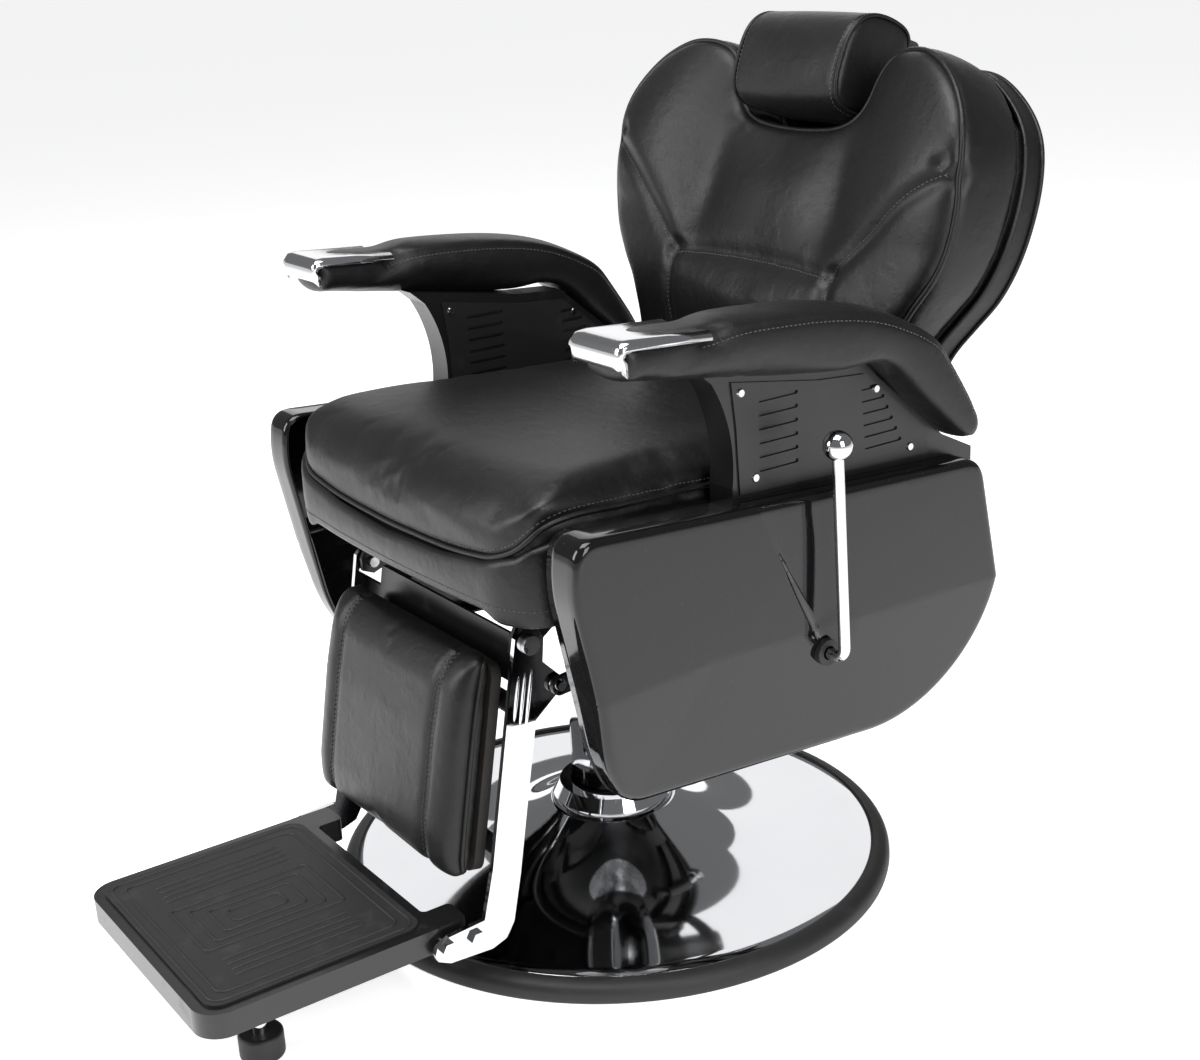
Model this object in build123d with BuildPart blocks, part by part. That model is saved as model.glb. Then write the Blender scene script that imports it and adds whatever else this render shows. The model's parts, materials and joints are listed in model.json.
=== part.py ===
from build123d import *
import os
from math import atan2, cos, degrees, hypot, radians, sin

# Hydraulic barber chair.  Origin: centre of the base on the floor.  The sitter faces -Y,
# +X is the sitter's left and +Z is up.  All sizes in millimetres.

# base
base_radius = 325.0
trim_width = 26.0
trim_height = 22.0
dish_radius = base_radius - 20.0
dish_rim_z = 20.0
dish_wall = 2.2
flare_radius = dish_radius - 20.0
flare_power = 2.9
neck_radius = 70.0
neck_z = 78.0
plate_z = 3.0
plate_thickness = 6.0
bolt_radius = 5.0
bolt_clearance = 0.5
bolt_head_height = 7.0
bolt_head_radius = 9.0

# hydraulic column
pump_flange_radius = 82.0
pump_flange_thickness = 12.0
pump_bolt_circle = 65.0
pump_radius = 38.0
pump_top_z = 278.0
gland_height = 14.0
gland_radius = 42.0
rod_radius = 22.0
running_clearance = 0.05
rod_bottom_z = 60.0
shroud_radius = 47.0
shroud_wall = 2.5
shroud_bottom_z = 100.0
shroud_cap = 6.0
bearing_height = 8.0
bearing_gap = 0.1
hub_radius = 40.0
hub_height = 65.0
hub_flange_radius = 75.0
hub_flange_thickness = 8.0
hub_bolt_circle = 58.0
collar_height = 20.0

# foot pedal, pointing to the rear at pedal_angle from +Y towards -X
pedal_angle = 25.0
pedal_pivot_radius = 80.0
pedal_pivot_z = 92.0
pedal_end_radius = 262.0
pedal_end_z = 76.0
pedal_thickness = 8.0
pedal_width = 24.0
pedal_pad_length = 48.0
pedal_pad_width = 66.0
pedal_pad_height = 11.0

# seat frame
bracket_half_x = 160.0
bracket_front_y = -120.0
bracket_rear_y = 120.0
bracket_thickness = 5.0
bracket_lip = 18.0
tube_size = 30.0
tube_wall = 2.5
rail_x = 140.0
rail_front_y = -195.0
rail_rear_y = 205.0
cross_front_y = -150.0
cross_rear_y = 185.0
board_thickness = 12.0

# seat cushion
seat_half_width = 246.0
seat_rear_y = 204.0
seat_corner_y = -222.0
seat_front_y = -272.0
seat_top_z = 562.0
skirt_thickness = 8.0
skirt_side_bottom_z = 421.0
skirt_middle_bottom_z = 430.0
skirt_cross_gap = 2.0

# arms
arm_inner_x = seat_half_width + 6.0
arm_frame_thickness = 36.0
arm_wall = 2.5
arm_centre_x = arm_inner_x + 43.0
arm_pad_width = 80.0
cap_thickness = 3.0
vent_thickness = 2.0
vent_screw_radius = 4.5
vent_screw_height = 2.0
louvre_width = 4.0

# side panels
panel_outer_x = arm_inner_x + 68.0
panel_depth = 48.0
panel_wall = 3.5
panel_boss_radius = 8.0
lever_y = 55.0
lever_z = 342.0
lever_radius = 6.0
lever_reach_x = panel_outer_x + 25.0
lever_knob_radius = 15.0
lever_knob_y = 47.0
lever_knob_z = 568.0
grommet_radius = 14.0

# back, in its own leaning frame: u across, v up the lean, w towards the sitter
hinge_y = 255.0
hinge_z = 455.0
lean = 20.0
hinge_pin_radius = 8.0
hinge_plate_x = arm_inner_x - 16.0
hinge_plate_thickness = 8.0
cross_bar_v = 38.0
cross_bar_radius = 12.5
upright_u = 170.0
upright_width = 30.0
upright_thickness = 8.0
upright_top_v = 400.0
upper_bar_v = 315.0
upper_bar_thickness = 6.0
upper_bar_height = 30.0
back_board_thickness = 10.0
back_bottom_v = 60.0
back_half_width = 302.0
notch_half_width = 105.0
notch_v = 368.0
cover_back_w = -24.0
cover_wall = 4.0
cover_inset = 6.0
cover_notch_v = 387.0

# headrest
headrest_half_width = 92.0
headrest_bottom_v = 392.0
headrest_top_v = 488.0
headrest_front_w = 117.0
headrest_bar_half = 20.0
headrest_bar_thickness = 6.0
headrest_bar_bottom_v = 205.0
headrest_board_thickness = 12.0
slide_clearance = 0.15

# leg rest, in its own frame: s down the rails, n towards the front
foot_half_width = 157.0
leg_pivot_y = -208.0
leg_pivot_z = 378.0
leg_lean = 10.6
leg_rail_x = foot_half_width + 7.0
leg_rail_thickness = 6.0
leg_tube_radius = 10.0
leg_board_thickness = 12.0
leg_plate_half_x = 134.0
leg_plate_thickness = 5.0
leg_plate_shoulder_s = 22.0
leg_plate_top = 1.0
leg_plate_depth = 26.0
leg_pad_half_width = leg_rail_x - 14.0
leg_pad_bottom_s = 262.0
leg_pad_front_n = 66.0
leg_pin_radius = 6.0

# footplate
foot_hinge_y = -328.0
foot_hinge_z = 77.0
foot_front_y = -587.0
foot_rear_y = -328.0
foot_ear_rear_y = -296.0
foot_ear_x = 120.0
foot_top_z = 95.0
foot_depth = 27.0
foot_wall = 3.5
foot_corner = 30.0
foot_bolt_radius = 6.0
mat_height = 2.5
mat_margin = 12.0
stud_x = 107.0
stud_y = -513.0
stud_radius = 8.5
knob_radius = 23.0
knob_height = 28.0
knob_floor = 4.0
knob_travel = 12.0

# linkage between back and leg rest, and the locking gas spring
lever_arm = 80.0
lever_start = 22.5
leg_arm = 60.0
leg_arm_start = 30.0
link_x = leg_rail_x + 8.0
link_thickness = 6.0
link_width = 20.0
link_pin_radius = 5.0
link_open_clearance = 3.0
spring_arm = 35.0
spring_anchor_y = 112.0
spring_anchor_z = 372.0
spring_radius = 13.0
spring_rod_radius = 5.0
spring_open_clearance = 3.2
spring_fork_x = 8.5
spring_fork_thickness = 4.5
spring_neck = 24.0
spring_body_length = 80.0
spring_bore_start = 55.0
spring_rod_start = 88.0

# heights that follow from the stack above
plate_top_z = plate_z + plate_thickness
shroud_top_z = pump_top_z + gland_height + 8.0
bearing_z = shroud_top_z + shroud_cap
hub_bottom_z = bearing_z + bearing_height + bearing_gap
hub_top_z = hub_bottom_z + hub_height
bracket_z = hub_top_z + hub_flange_thickness
rail_z = bracket_z + bracket_thickness
cross_z = rail_z + tube_size
board_z = cross_z + tube_size
skirt_rear_y = cross_front_y - tube_size / 2 - skirt_cross_gap
seat_z = board_z + board_thickness
rod_top_z = hub_top_z - 17.0
arm_outer_x = arm_inner_x + arm_frame_thickness
leg_rail_outer_x = leg_rail_x + leg_rail_thickness
leg_board_n = leg_tube_radius
leg_pad_n = leg_board_n + leg_board_thickness
board_w = upright_thickness
cushion_w = board_w + back_board_thickness
spring_pivot_y = hinge_y + spring_arm * sin(radians(lever_start))
spring_pivot_z = hinge_z - spring_arm * cos(radians(lever_start))
link_rear_y = hinge_y + lever_arm * sin(radians(lever_start))
link_rear_z = hinge_z - lever_arm * cos(radians(lever_start))
link_front_y = leg_pivot_y + leg_arm * sin(radians(leg_arm_start))
link_front_z = leg_pivot_z - leg_arm * cos(radians(leg_arm_start))

sides = {"left": 1, "right": -1}
finished = {}


def back_point(v, w):
    """Side view place (y, z) of a point v up the back's lean and w in front of its hinge line."""
    a = radians(lean)
    return (hinge_y + v * sin(a) - w * cos(a), hinge_z + v * cos(a) + w * sin(a))


def leg_point(s, n):
    """Side view place (y, z) of a point s down the leg rest and n in front of its pivot line."""
    a = radians(leg_lean)
    return (leg_pivot_y - s * sin(a) - n * cos(a), leg_pivot_z - s * cos(a) + n * sin(a))


def flare_height(radius):
    """Height of the base's trumpet at a radius."""
    rise = (flare_radius - radius) / (flare_radius - neck_radius)
    return dish_rim_z + (neck_z - dish_rim_z) * rise ** flare_power


back_plane = Plane(
    origin=(0, hinge_y, hinge_z),
    x_dir=(1, 0, 0),
    z_dir=(0, -cos(radians(lean)), sin(radians(lean))),
)
leg_plane = Plane(
    origin=(0, leg_pivot_y, leg_pivot_z),
    x_dir=(1, 0, 0),
    z_dir=(0, -cos(radians(leg_lean)), sin(radians(leg_lean))),
)
pedal_plane = Plane(
    origin=(0, 0, 0),
    x_dir=(-sin(radians(pedal_angle)), cos(radians(pedal_angle)), 0),
    z_dir=(cos(radians(pedal_angle)), sin(radians(pedal_angle)), 0),
)

# ---------------------------------------------------------------- base

with BuildPart() as base_plate:
    with Locations((0, 0, plate_z)):
        Cylinder(
            base_radius - trim_width, plate_thickness,
            align=(Align.CENTER, Align.CENTER, Align.MIN),
        )
    with Locations((0, 0, plate_top_z)), PolarLocations(pump_bolt_circle, 4, start_angle=45):
        Hole(bolt_radius + bolt_clearance)
finished["base_plate"] = base_plate

trim_inner = base_radius - trim_width
trim_seat_z = dish_rim_z - dish_wall
with BuildPart() as trim_ring:
    with BuildSketch(Plane.XZ):
        with BuildLine():
            Polyline(
                (trim_inner, 0), (base_radius - 6, 0), (base_radius, 7), (base_radius, 11),
                (base_radius - 4, 18), (base_radius - 11, trim_height),
                (dish_radius + 0.5, trim_height), (dish_radius + 0.5, trim_seat_z),
                (trim_inner, trim_seat_z), (trim_inner, 0),
            )
        make_face()
    revolve(axis=Axis.Z)
finished["trim_ring"] = trim_ring

flare_steps = 8
flare_radii = [flare_radius + (neck_radius - flare_radius) * k / flare_steps for k in range(flare_steps + 1)]
outer_flare = [(r, flare_height(r)) for r in flare_radii]
inner_flare = [(r - dish_wall, z - dish_wall) for r, z in outer_flare]
with BuildPart() as base_dish:
    with BuildSketch(Plane.XZ):
        with BuildLine():
            Line((dish_radius, dish_rim_z - dish_wall), (dish_radius, dish_rim_z))
            Line((dish_radius, dish_rim_z), outer_flare[0])
            Spline(*outer_flare)
            Line(outer_flare[-1], (neck_radius - dish_wall, neck_z))
            Line((neck_radius - dish_wall, neck_z), inner_flare[-1])
            Spline(*reversed(inner_flare))
            Line(inner_flare[0], (dish_radius, dish_rim_z - dish_wall))
        make_face()
    revolve(axis=Axis.Z)
finished["base_dish"] = base_dish

collar_bore = shroud_radius + 2.0
ear_inner = pedal_width / 2 + 0.5
ear_thickness = 6.0
ear_radius = 11.0
with BuildPart() as neck_collar:
    with BuildSketch(Plane.XZ):
        with BuildLine():
            Polyline(
                (collar_bore, neck_z), (neck_radius, neck_z), (neck_radius, neck_z + 5),
                (neck_radius - 8, neck_z + collar_height), (collar_bore, neck_z + collar_height),
                (collar_bore, neck_z),
            )
        make_face()
    revolve(axis=Axis.Z)
    for turn in (1, -1):
        with BuildSketch(pedal_plane.offset(turn * ear_inner)):
            with BuildLine():
                Polyline(
                    (neck_radius - 9, neck_z + 3), (pedal_pivot_radius + 4, neck_z + 3),
                    (pedal_pivot_radius + ear_radius, pedal_pivot_z),
                    (pedal_pivot_radius, pedal_pivot_z + 10),
                    (neck_radius - 9, pedal_pivot_z + 3), (neck_radius - 9, neck_z + 3),
                )
            make_face()
        extrude(amount=turn * ear_thickness)
    with BuildSketch(pedal_plane.offset(-ear_inner - ear_thickness - 3)):
        with Locations((pedal_pivot_radius, pedal_pivot_z)):
            Circle(bolt_radius)
    extrude(amount=2 * (ear_inner + ear_thickness + 3))
finished["neck_collar"] = neck_collar

with BuildPart() as pump_body:
    with BuildSketch(Plane.XZ):
        with BuildLine():
            Polyline(
                (0, plate_top_z), (pump_flange_radius, plate_top_z),
                (pump_flange_radius, plate_top_z + pump_flange_thickness),
                (pump_radius + 12, plate_top_z + pump_flange_thickness),
                (pump_radius + 12, plate_top_z + pump_flange_thickness + 8),
                (pump_radius, plate_top_z + pump_flange_thickness + 30),
                (pump_radius, pump_top_z), (0, pump_top_z), (0, plate_top_z),
            )
        make_face()
    revolve(axis=Axis.Z)
    with Locations((0, 0, pump_top_z)):
        Hole(rod_radius + running_clearance, depth=pump_top_z - rod_bottom_z + 15)
    with Locations((0, 0, plate_top_z + pump_flange_thickness)):
        with PolarLocations(pump_bolt_circle, 4, start_angle=45):
            Hole(bolt_radius + bolt_clearance, depth=pump_flange_thickness)
finished["pump_body"] = pump_body

with BuildPart() as gland_nut:
    with BuildSketch(Plane.XY.offset(pump_top_z)):
        Circle(gland_radius)
        Circle(rod_radius + 0.5, mode=Mode.SUBTRACT)
    extrude(amount=gland_height)
finished["gland_nut"] = gland_nut

with BuildPart() as pump_bolts:
    with BuildSketch(Plane.XY.offset(plate_z)):
        with PolarLocations(pump_bolt_circle, 4, start_angle=45):
            Circle(bolt_radius)
    extrude(amount=plate_thickness + pump_flange_thickness)
    with BuildSketch(Plane.XY.offset(plate_top_z + pump_flange_thickness)):
        with PolarLocations(pump_bolt_circle, 4, start_angle=45):
            RegularPolygon(bolt_head_radius, 6)
    extrude(amount=bolt_head_height)
finished["pump_bolts"] = pump_bolts

# ---------------------------------------------------------------- foot pedal

arm_top_z = pedal_end_z + pedal_thickness
with BuildPart() as pedal_arm:
    with BuildSketch(pedal_plane.offset(-pedal_width / 2)):
        with BuildLine():
            Polyline(
                (pedal_pivot_radius, pedal_pivot_z + pedal_thickness / 2),
                (pedal_pivot_radius + 40, pedal_pivot_z + pedal_thickness / 2),
                (pedal_pivot_radius + 70, arm_top_z), (pedal_end_radius, arm_top_z),
                (pedal_end_radius, pedal_end_z), (pedal_pivot_radius + 67, pedal_end_z),
                (pedal_pivot_radius + 37, pedal_pivot_z - pedal_thickness / 2),
                (pedal_pivot_radius, pedal_pivot_z - pedal_thickness / 2),
                (pedal_pivot_radius, pedal_pivot_z + pedal_thickness / 2),
            )
        make_face()
        with Locations((pedal_pivot_radius, pedal_pivot_z)):
            Circle(bolt_radius + 4.0)
            Circle(bolt_radius + running_clearance, mode=Mode.SUBTRACT)
    extrude(amount=pedal_width)
finished["pedal_arm"] = pedal_arm

with BuildPart() as pedal_pad:
    with BuildSketch(pedal_plane.offset(-pedal_pad_width / 2)):
        with Locations((pedal_end_radius - pedal_pad_length / 2, arm_top_z + pedal_pad_height / 2)):
            RectangleRounded(pedal_pad_length, pedal_pad_height, 3)
    extrude(amount=pedal_pad_width)
finished["pedal_pad"] = pedal_pad

# ---------------------------------------------------------------- lifting column

with BuildPart() as piston_rod:
    with Locations((0, 0, rod_bottom_z)):
        Cylinder(
            rod_radius, rod_top_z - rod_bottom_z,
            align=(Align.CENTER, Align.CENTER, Align.MIN),
        )
finished["piston_rod"] = piston_rod

with BuildPart() as column_shroud:
    with BuildSketch(Plane.XY.offset(shroud_bottom_z)):
        Circle(shroud_radius)
        Circle(shroud_radius - shroud_wall, mode=Mode.SUBTRACT)
    extrude(amount=shroud_top_z - shroud_bottom_z)
    with BuildSketch(Plane.XY.offset(shroud_top_z)):
        Circle(shroud_radius)
        Circle(rod_radius, mode=Mode.SUBTRACT)
    extrude(amount=shroud_cap)
finished["column_shroud"] = column_shroud

with BuildPart() as thrust_bearing:
    with BuildSketch(Plane.XY.offset(bearing_z)):
        Circle(hub_radius - 1)
        Circle(rod_radius, mode=Mode.SUBTRACT)
    extrude(amount=bearing_height)
finished["thrust_bearing"] = thrust_bearing

# ---------------------------------------------------------------- seat frame

with BuildPart() as swivel_hub:
    with BuildSketch(Plane.XY.offset(hub_bottom_z)):
        Circle(hub_radius)
    extrude(amount=hub_height)
    with BuildSketch(Plane.XY.offset(hub_top_z)):
        Circle(hub_flange_radius)
    extrude(amount=hub_flange_thickness)
    with BuildSketch(Plane.XY.offset(hub_bottom_z)):
        Circle(rod_radius + running_clearance)
    extrude(amount=rod_top_z - hub_bottom_z + 4, mode=Mode.SUBTRACT)
    with BuildSketch(Plane.XY.offset(hub_top_z)):
        with PolarLocations(hub_bolt_circle, 4, start_angle=45):
            Circle(bolt_radius + bolt_clearance)
    extrude(amount=hub_flange_thickness, mode=Mode.SUBTRACT)
finished["swivel_hub"] = swivel_hub

bracket_length = bracket_rear_y - bracket_front_y
bracket_mid_y = (bracket_rear_y + bracket_front_y) / 2
with BuildPart() as seat_bracket:
    with BuildSketch(Plane.XY.offset(bracket_z)):
        with Locations((0, bracket_mid_y)):
            RectangleRounded(2 * bracket_half_x, bracket_length, 12)
        with PolarLocations(hub_bolt_circle, 4, start_angle=45):
            Circle(bolt_radius + bolt_clearance, mode=Mode.SUBTRACT)
    extrude(amount=bracket_thickness)
    with BuildSketch(Plane.XY.offset(bracket_z)):
        for side in sides.values():
            with Locations((side * (bracket_half_x - bracket_thickness / 2), bracket_mid_y)):
                Rectangle(bracket_thickness, bracket_length - 30)
    extrude(amount=-bracket_lip)
finished["seat_bracket"] = seat_bracket

with BuildPart() as hub_bolts:
    with BuildSketch(Plane.XY.offset(hub_top_z)):
        with PolarLocations(hub_bolt_circle, 4, start_angle=45):
            Circle(bolt_radius)
    extrude(amount=hub_flange_thickness + bracket_thickness)
    with BuildSketch(Plane.XY.offset(rail_z)):
        with PolarLocations(hub_bolt_circle, 4, start_angle=45):
            RegularPolygon(bolt_head_radius, 6)
    extrude(amount=bolt_head_height)
finished["hub_bolts"] = hub_bolts

lug_thickness = 5.0
lug_x = rail_x + tube_size / 2
with BuildPart() as frame_rails:
    with BuildSketch(Plane.XZ.offset(-rail_rear_y)):
        for side in sides.values():
            with Locations((side * rail_x, rail_z + tube_size / 2)):
                Rectangle(tube_size, tube_size)
                Rectangle(tube_size - 2 * tube_wall, tube_size - 2 * tube_wall, mode=Mode.SUBTRACT)
    extrude(amount=rail_rear_y - rail_front_y)
    for side in sides.values():
        with BuildSketch(Plane.YZ.offset(side * lug_x)):
            with BuildLine():
                Polyline(
                    (leg_pivot_y + 56, cross_z - 2), (leg_pivot_y + 6, cross_z - 2),
                    (leg_pivot_y - 14, leg_pivot_z + 6), (leg_pivot_y - 14, leg_pivot_z - 8),
                    (leg_pivot_y, leg_pivot_z - 14), (leg_pivot_y + 16, leg_pivot_z - 8),
                    (leg_pivot_y + 56, rail_z + 6), (leg_pivot_y + 56, cross_z - 2),
                )
            make_face()
            with Locations((leg_pivot_y, leg_pivot_z)):
                Circle(leg_pin_radius, mode=Mode.SUBTRACT)
        extrude(amount=side * lug_thickness)
finished["frame_rails"] = frame_rails

with BuildPart() as frame_cross_tubes:
    with BuildSketch(Plane.YZ.offset(-arm_inner_x)):
        for y in (cross_front_y, cross_rear_y):
            with Locations((y, cross_z + tube_size / 2)):
                Rectangle(tube_size, tube_size)
                Rectangle(tube_size - 2 * tube_wall, tube_size - 2 * tube_wall, mode=Mode.SUBTRACT)
    extrude(amount=2 * arm_inner_x)
finished["frame_cross_tubes"] = frame_cross_tubes

pin_head = 6.0
with BuildPart() as pivot_pins:
    for side in sides.values():
        with BuildSketch(Plane.YZ.offset(side * (lug_x - 4))):
            with Locations((leg_pivot_y, leg_pivot_z)):
                Circle(leg_pin_radius)
        extrude(amount=side * (leg_rail_outer_x - lug_x + 4.3))
        with BuildSketch(Plane.YZ.offset(side * (leg_rail_outer_x + 0.3))):
            with Locations((leg_pivot_y, leg_pivot_z)):
                Circle(leg_pin_radius + 4)
        extrude(amount=side * pin_head)
        with BuildSketch(Plane.YZ.offset(side * (hinge_plate_x - 1))):
            with Locations((hinge_y, hinge_z)):
                Circle(hinge_pin_radius)
        extrude(amount=side * (arm_inner_x + arm_wall + 5 - hinge_plate_x))
        with BuildSketch(Plane.YZ.offset(side * (hinge_plate_x - 0.3))):
            with Locations((hinge_y, hinge_z)):
                Circle(hinge_pin_radius + 4)
        extrude(amount=-side * pin_head)
finished["pivot_pins"] = pivot_pins

with BuildPart() as gas_spring_anchor:
    for side in sides.values():
        with BuildSketch(Plane.YZ.offset(side * spring_fork_x)):
            with BuildLine():
                Polyline(
                    (spring_anchor_y - 14, bracket_z), (spring_anchor_y + 12, bracket_z),
                    (spring_anchor_y + 9, spring_anchor_z - 9), (spring_anchor_y - 9, spring_anchor_z - 9),
                    (spring_anchor_y - 14, bracket_z),
                )
            make_face()
        extrude(amount=side * spring_fork_thickness)
    with BuildSketch(Plane.YZ.offset(-spring_fork_x - spring_fork_thickness)):
        with Locations((spring_anchor_y, spring_anchor_z)):
            Circle(link_pin_radius)
    extrude(amount=2 * (spring_fork_x + spring_fork_thickness))
finished["gas_spring_anchor"] = gas_spring_anchor

# ---------------------------------------------------------------- seat


def seat_outline(inset):
    """Draws the seat's plan outline, drawn in by inset, into the current line context."""
    x = seat_half_width - inset
    rear = seat_rear_y
    front = seat_front_y + inset
    shoulder = (x - 40, front + 10)
    Line((-x, rear), (x, rear))
    Line((x, rear), (x, seat_corner_y))
    ThreePointArc((x, seat_corner_y), (x - 10, front + 24), shoulder)
    ThreePointArc(shoulder, (0, front), (-shoulder[0], shoulder[1]))
    ThreePointArc((-shoulder[0], shoulder[1]), (10 - x, front + 24), (-x, seat_corner_y))
    Line((-x, seat_corner_y), (-x, rear))


with BuildPart() as seat_board:
    with BuildSketch(Plane.XY.offset(board_z)):
        with BuildLine():
            seat_outline(skirt_thickness + 0.5)
        make_face()
    extrude(amount=board_thickness)
finished["seat_board"] = seat_board

with BuildPart() as seat_cushion:
    with BuildSketch(Plane.XY.offset(seat_z)):
        with BuildLine():
            seat_outline(0)
        make_face()
    extrude(amount=seat_top_z - seat_z)
    with BuildSketch(Plane.YZ.offset(-seat_half_width - 10)):
        with BuildLine():
            Polyline(
                (seat_rear_y + 5, seat_z - 1), (seat_rear_y + 5, seat_top_z - 26),
                (60, seat_top_z - 14), (-60, seat_top_z - 4), (-165, seat_top_z),
                (-222, seat_top_z - 12), (-256, seat_top_z - 44), (seat_front_y - 2, seat_z + 14),
                (seat_front_y - 2, seat_z - 1), (seat_rear_y + 5, seat_z - 1),
            )
        make_face()
    extrude(amount=2 * seat_half_width + 20, mode=Mode.INTERSECT)
finished["seat_cushion"] = seat_cushion

with BuildPart() as seat_skirt:
    with BuildSketch(Plane.XY.offset(skirt_side_bottom_z)):
        with BuildLine():
            seat_outline(0)
        make_face()
        with BuildLine():
            seat_outline(skirt_thickness)
        make_face(mode=Mode.SUBTRACT)
        with Locations((0, skirt_rear_y)):
            Rectangle(3 * seat_half_width, 800, align=(Align.CENTER, Align.MIN), mode=Mode.SUBTRACT)
    extrude(amount=seat_z - skirt_side_bottom_z)
    with BuildSketch(Plane.XZ.offset(-seat_front_y - 60)):
        with Locations((0, skirt_side_bottom_z - 1)):
            Trapezoid(400, skirt_middle_bottom_z - skirt_side_bottom_z + 1, 60,
                      align=(Align.CENTER, Align.MIN))
    extrude(amount=80, mode=Mode.SUBTRACT)
finished["seat_skirt"] = seat_skirt

# ---------------------------------------------------------------- arms

arm_underside = [(-110, 659), (72, 629), (132, 625), (246, 527)]
front_top_y = -78.0
front_top = (front_top_y, 659 + (629 - 659) * (front_top_y + 110) / (72 + 110))
vent_screws_yz = [(-27, 624), (-11, 536), (149, 595), (197, 524)]
vent_corners = [(-38, 636), (-33, 590), (-30, 522), (222, 512), (226, 535), (134, 613), (72, 618)]
front_louvres = [(20, 612 - 14 * k, 50) for k in range(6)]
rear_louvres = [(142 + 3.5 * k, 598 - 12.5 * k, 26 + 5 * k) for k in range(6)]

for name, side in sides.items():
    with BuildPart() as arm_frame:
        with BuildSketch(Plane.YZ.offset(side * arm_inner_x)):
            with BuildLine():
                Line(front_top, (-60, 638))
                ThreePointArc((-60, 638), (-42, 596), (-38, 529))
                Polyline(
                    (-38, 529), (-38, 405), (10, 325), (110, 325), (290, 405), (290, 505),
                    arm_underside[3], arm_underside[2], arm_underside[1], front_top,
                )
            make_face()
        extrude(amount=side * arm_frame_thickness)
        with BuildSketch(Plane.YZ.offset(side * (arm_inner_x + arm_wall))):
            with BuildLine():
                Polyline(
                    (-50, 640), (-36, 590), (-33, 529), (-33, 408), (12, 320), (108, 320),
                    (285, 410), (285, 500), (243, 523), (130, 620), (72, 624), (-50, 640),
                )
            make_face()
        extrude(amount=side * (arm_frame_thickness - 2 * arm_wall), mode=Mode.SUBTRACT)
        with BuildSketch(Plane.YZ.offset(side * (arm_inner_x - 1))):
            with Locations((lever_y, lever_z)):
                Circle(lever_radius + running_clearance)
        extrude(amount=side * (arm_frame_thickness + 2), mode=Mode.SUBTRACT)
        with BuildSketch(Plane.YZ.offset(side * (arm_inner_x - 1))):
            with Locations((hinge_y, hinge_z)):
                Circle(hinge_pin_radius)
        extrude(amount=side * (arm_wall + 2), mode=Mode.SUBTRACT)
    finished[f"arm_frame_{name}"] = arm_frame

    with BuildPart() as vent_plates:
        for face_x, out in ((arm_outer_x, 1), (arm_inner_x, -1)):
            with BuildSketch(Plane.YZ.offset(side * face_x)):
                with BuildLine():
                    Polyline(*vent_corners, vent_corners[0])
                make_face()
                for y, z, length in front_louvres + rear_louvres:
                    with Locations((y, z)):
                        SlotOverall(length, louvre_width, mode=Mode.SUBTRACT)
            extrude(amount=side * out * vent_thickness)
    finished[f"vent_plates_{name}"] = vent_plates

    pad_x = side * (arm_centre_x - arm_pad_width / 2)
    with BuildPart() as arm_pad:
        with BuildSketch(Plane.YZ.offset(pad_x)):
            with BuildLine():
                Polyline(
                    (-195, 680), (-190, 668), (-166, 666), *arm_underside, (262, 526), (269, 542),
                    (258, 570), (222, 624), (205, 645), (179, 662), (130, 684), (76, 697), (10, 704),
                    (-60, 706), (-100, 701), (-186, 707), (-195, 702), (-195, 680),
                )
            make_face()
        extrude(amount=side * arm_pad_width)
    finished[f"arm_pad_{name}"] = arm_pad

    with BuildPart() as arm_cap:
        with BuildSketch(Plane.YZ.offset(pad_x)):
            with BuildLine():
                Polyline(
                    (-100, 701), (-100, 701 + cap_thickness), (-187, 707 + cap_thickness),
                    (-195 - cap_thickness, 703), (-195 - cap_thickness, 680), (-195, 680),
                    (-195, 702), (-186, 707), (-100, 701),
                )
            make_face()
        extrude(amount=side * arm_pad_width)
    finished[f"arm_cap_{name}"] = arm_cap

with BuildPart() as vent_screws:
    for side in sides.values():
        for face_x, out in ((arm_outer_x, 1), (arm_inner_x, -1)):
            with BuildSketch(Plane.YZ.offset(side * (face_x + out * vent_thickness))):
                with Locations(*vent_screws_yz):
                    Circle(vent_screw_radius)
            extrude(amount=side * out * vent_screw_height, taper=25)
finished["vent_screws"] = vent_screws

# ---------------------------------------------------------------- side panels

panel_crease_rear = (305, 362)
panel_crease_front = (-235, 365)
panel_apex = (-85, 374)
panel_bottom_z = 250.0
panel_lower_inset = 20.0
panel_corners = [panel_crease_rear, (276, 502), (-31, 518), (-242, 532), (-249, 480), (-212, 285),
                 (-186, 240), (140, 218)]
panel_rear_arc = [panel_corners[-1], (262, 268), panel_crease_rear]
panel_fillets = [26.0, 22.0, 26.0]


def panel_facet(side, face_x, crease_end, low_point):
    """The plane of a facet below the crease from the apex to crease_end, through a lower point (y, z)."""
    crease = Vector(0, crease_end[0] - panel_apex[0], crease_end[1] - panel_apex[1])
    fall = Vector(-side * panel_lower_inset, low_point[0] - panel_apex[0], low_point[1] - panel_apex[1])
    normal = crease.cross(fall).normalized()
    if normal.X * side < 0:
        normal = -normal
    return Plane(origin=(face_x, *panel_apex), x_dir=crease, z_dir=normal)


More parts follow.
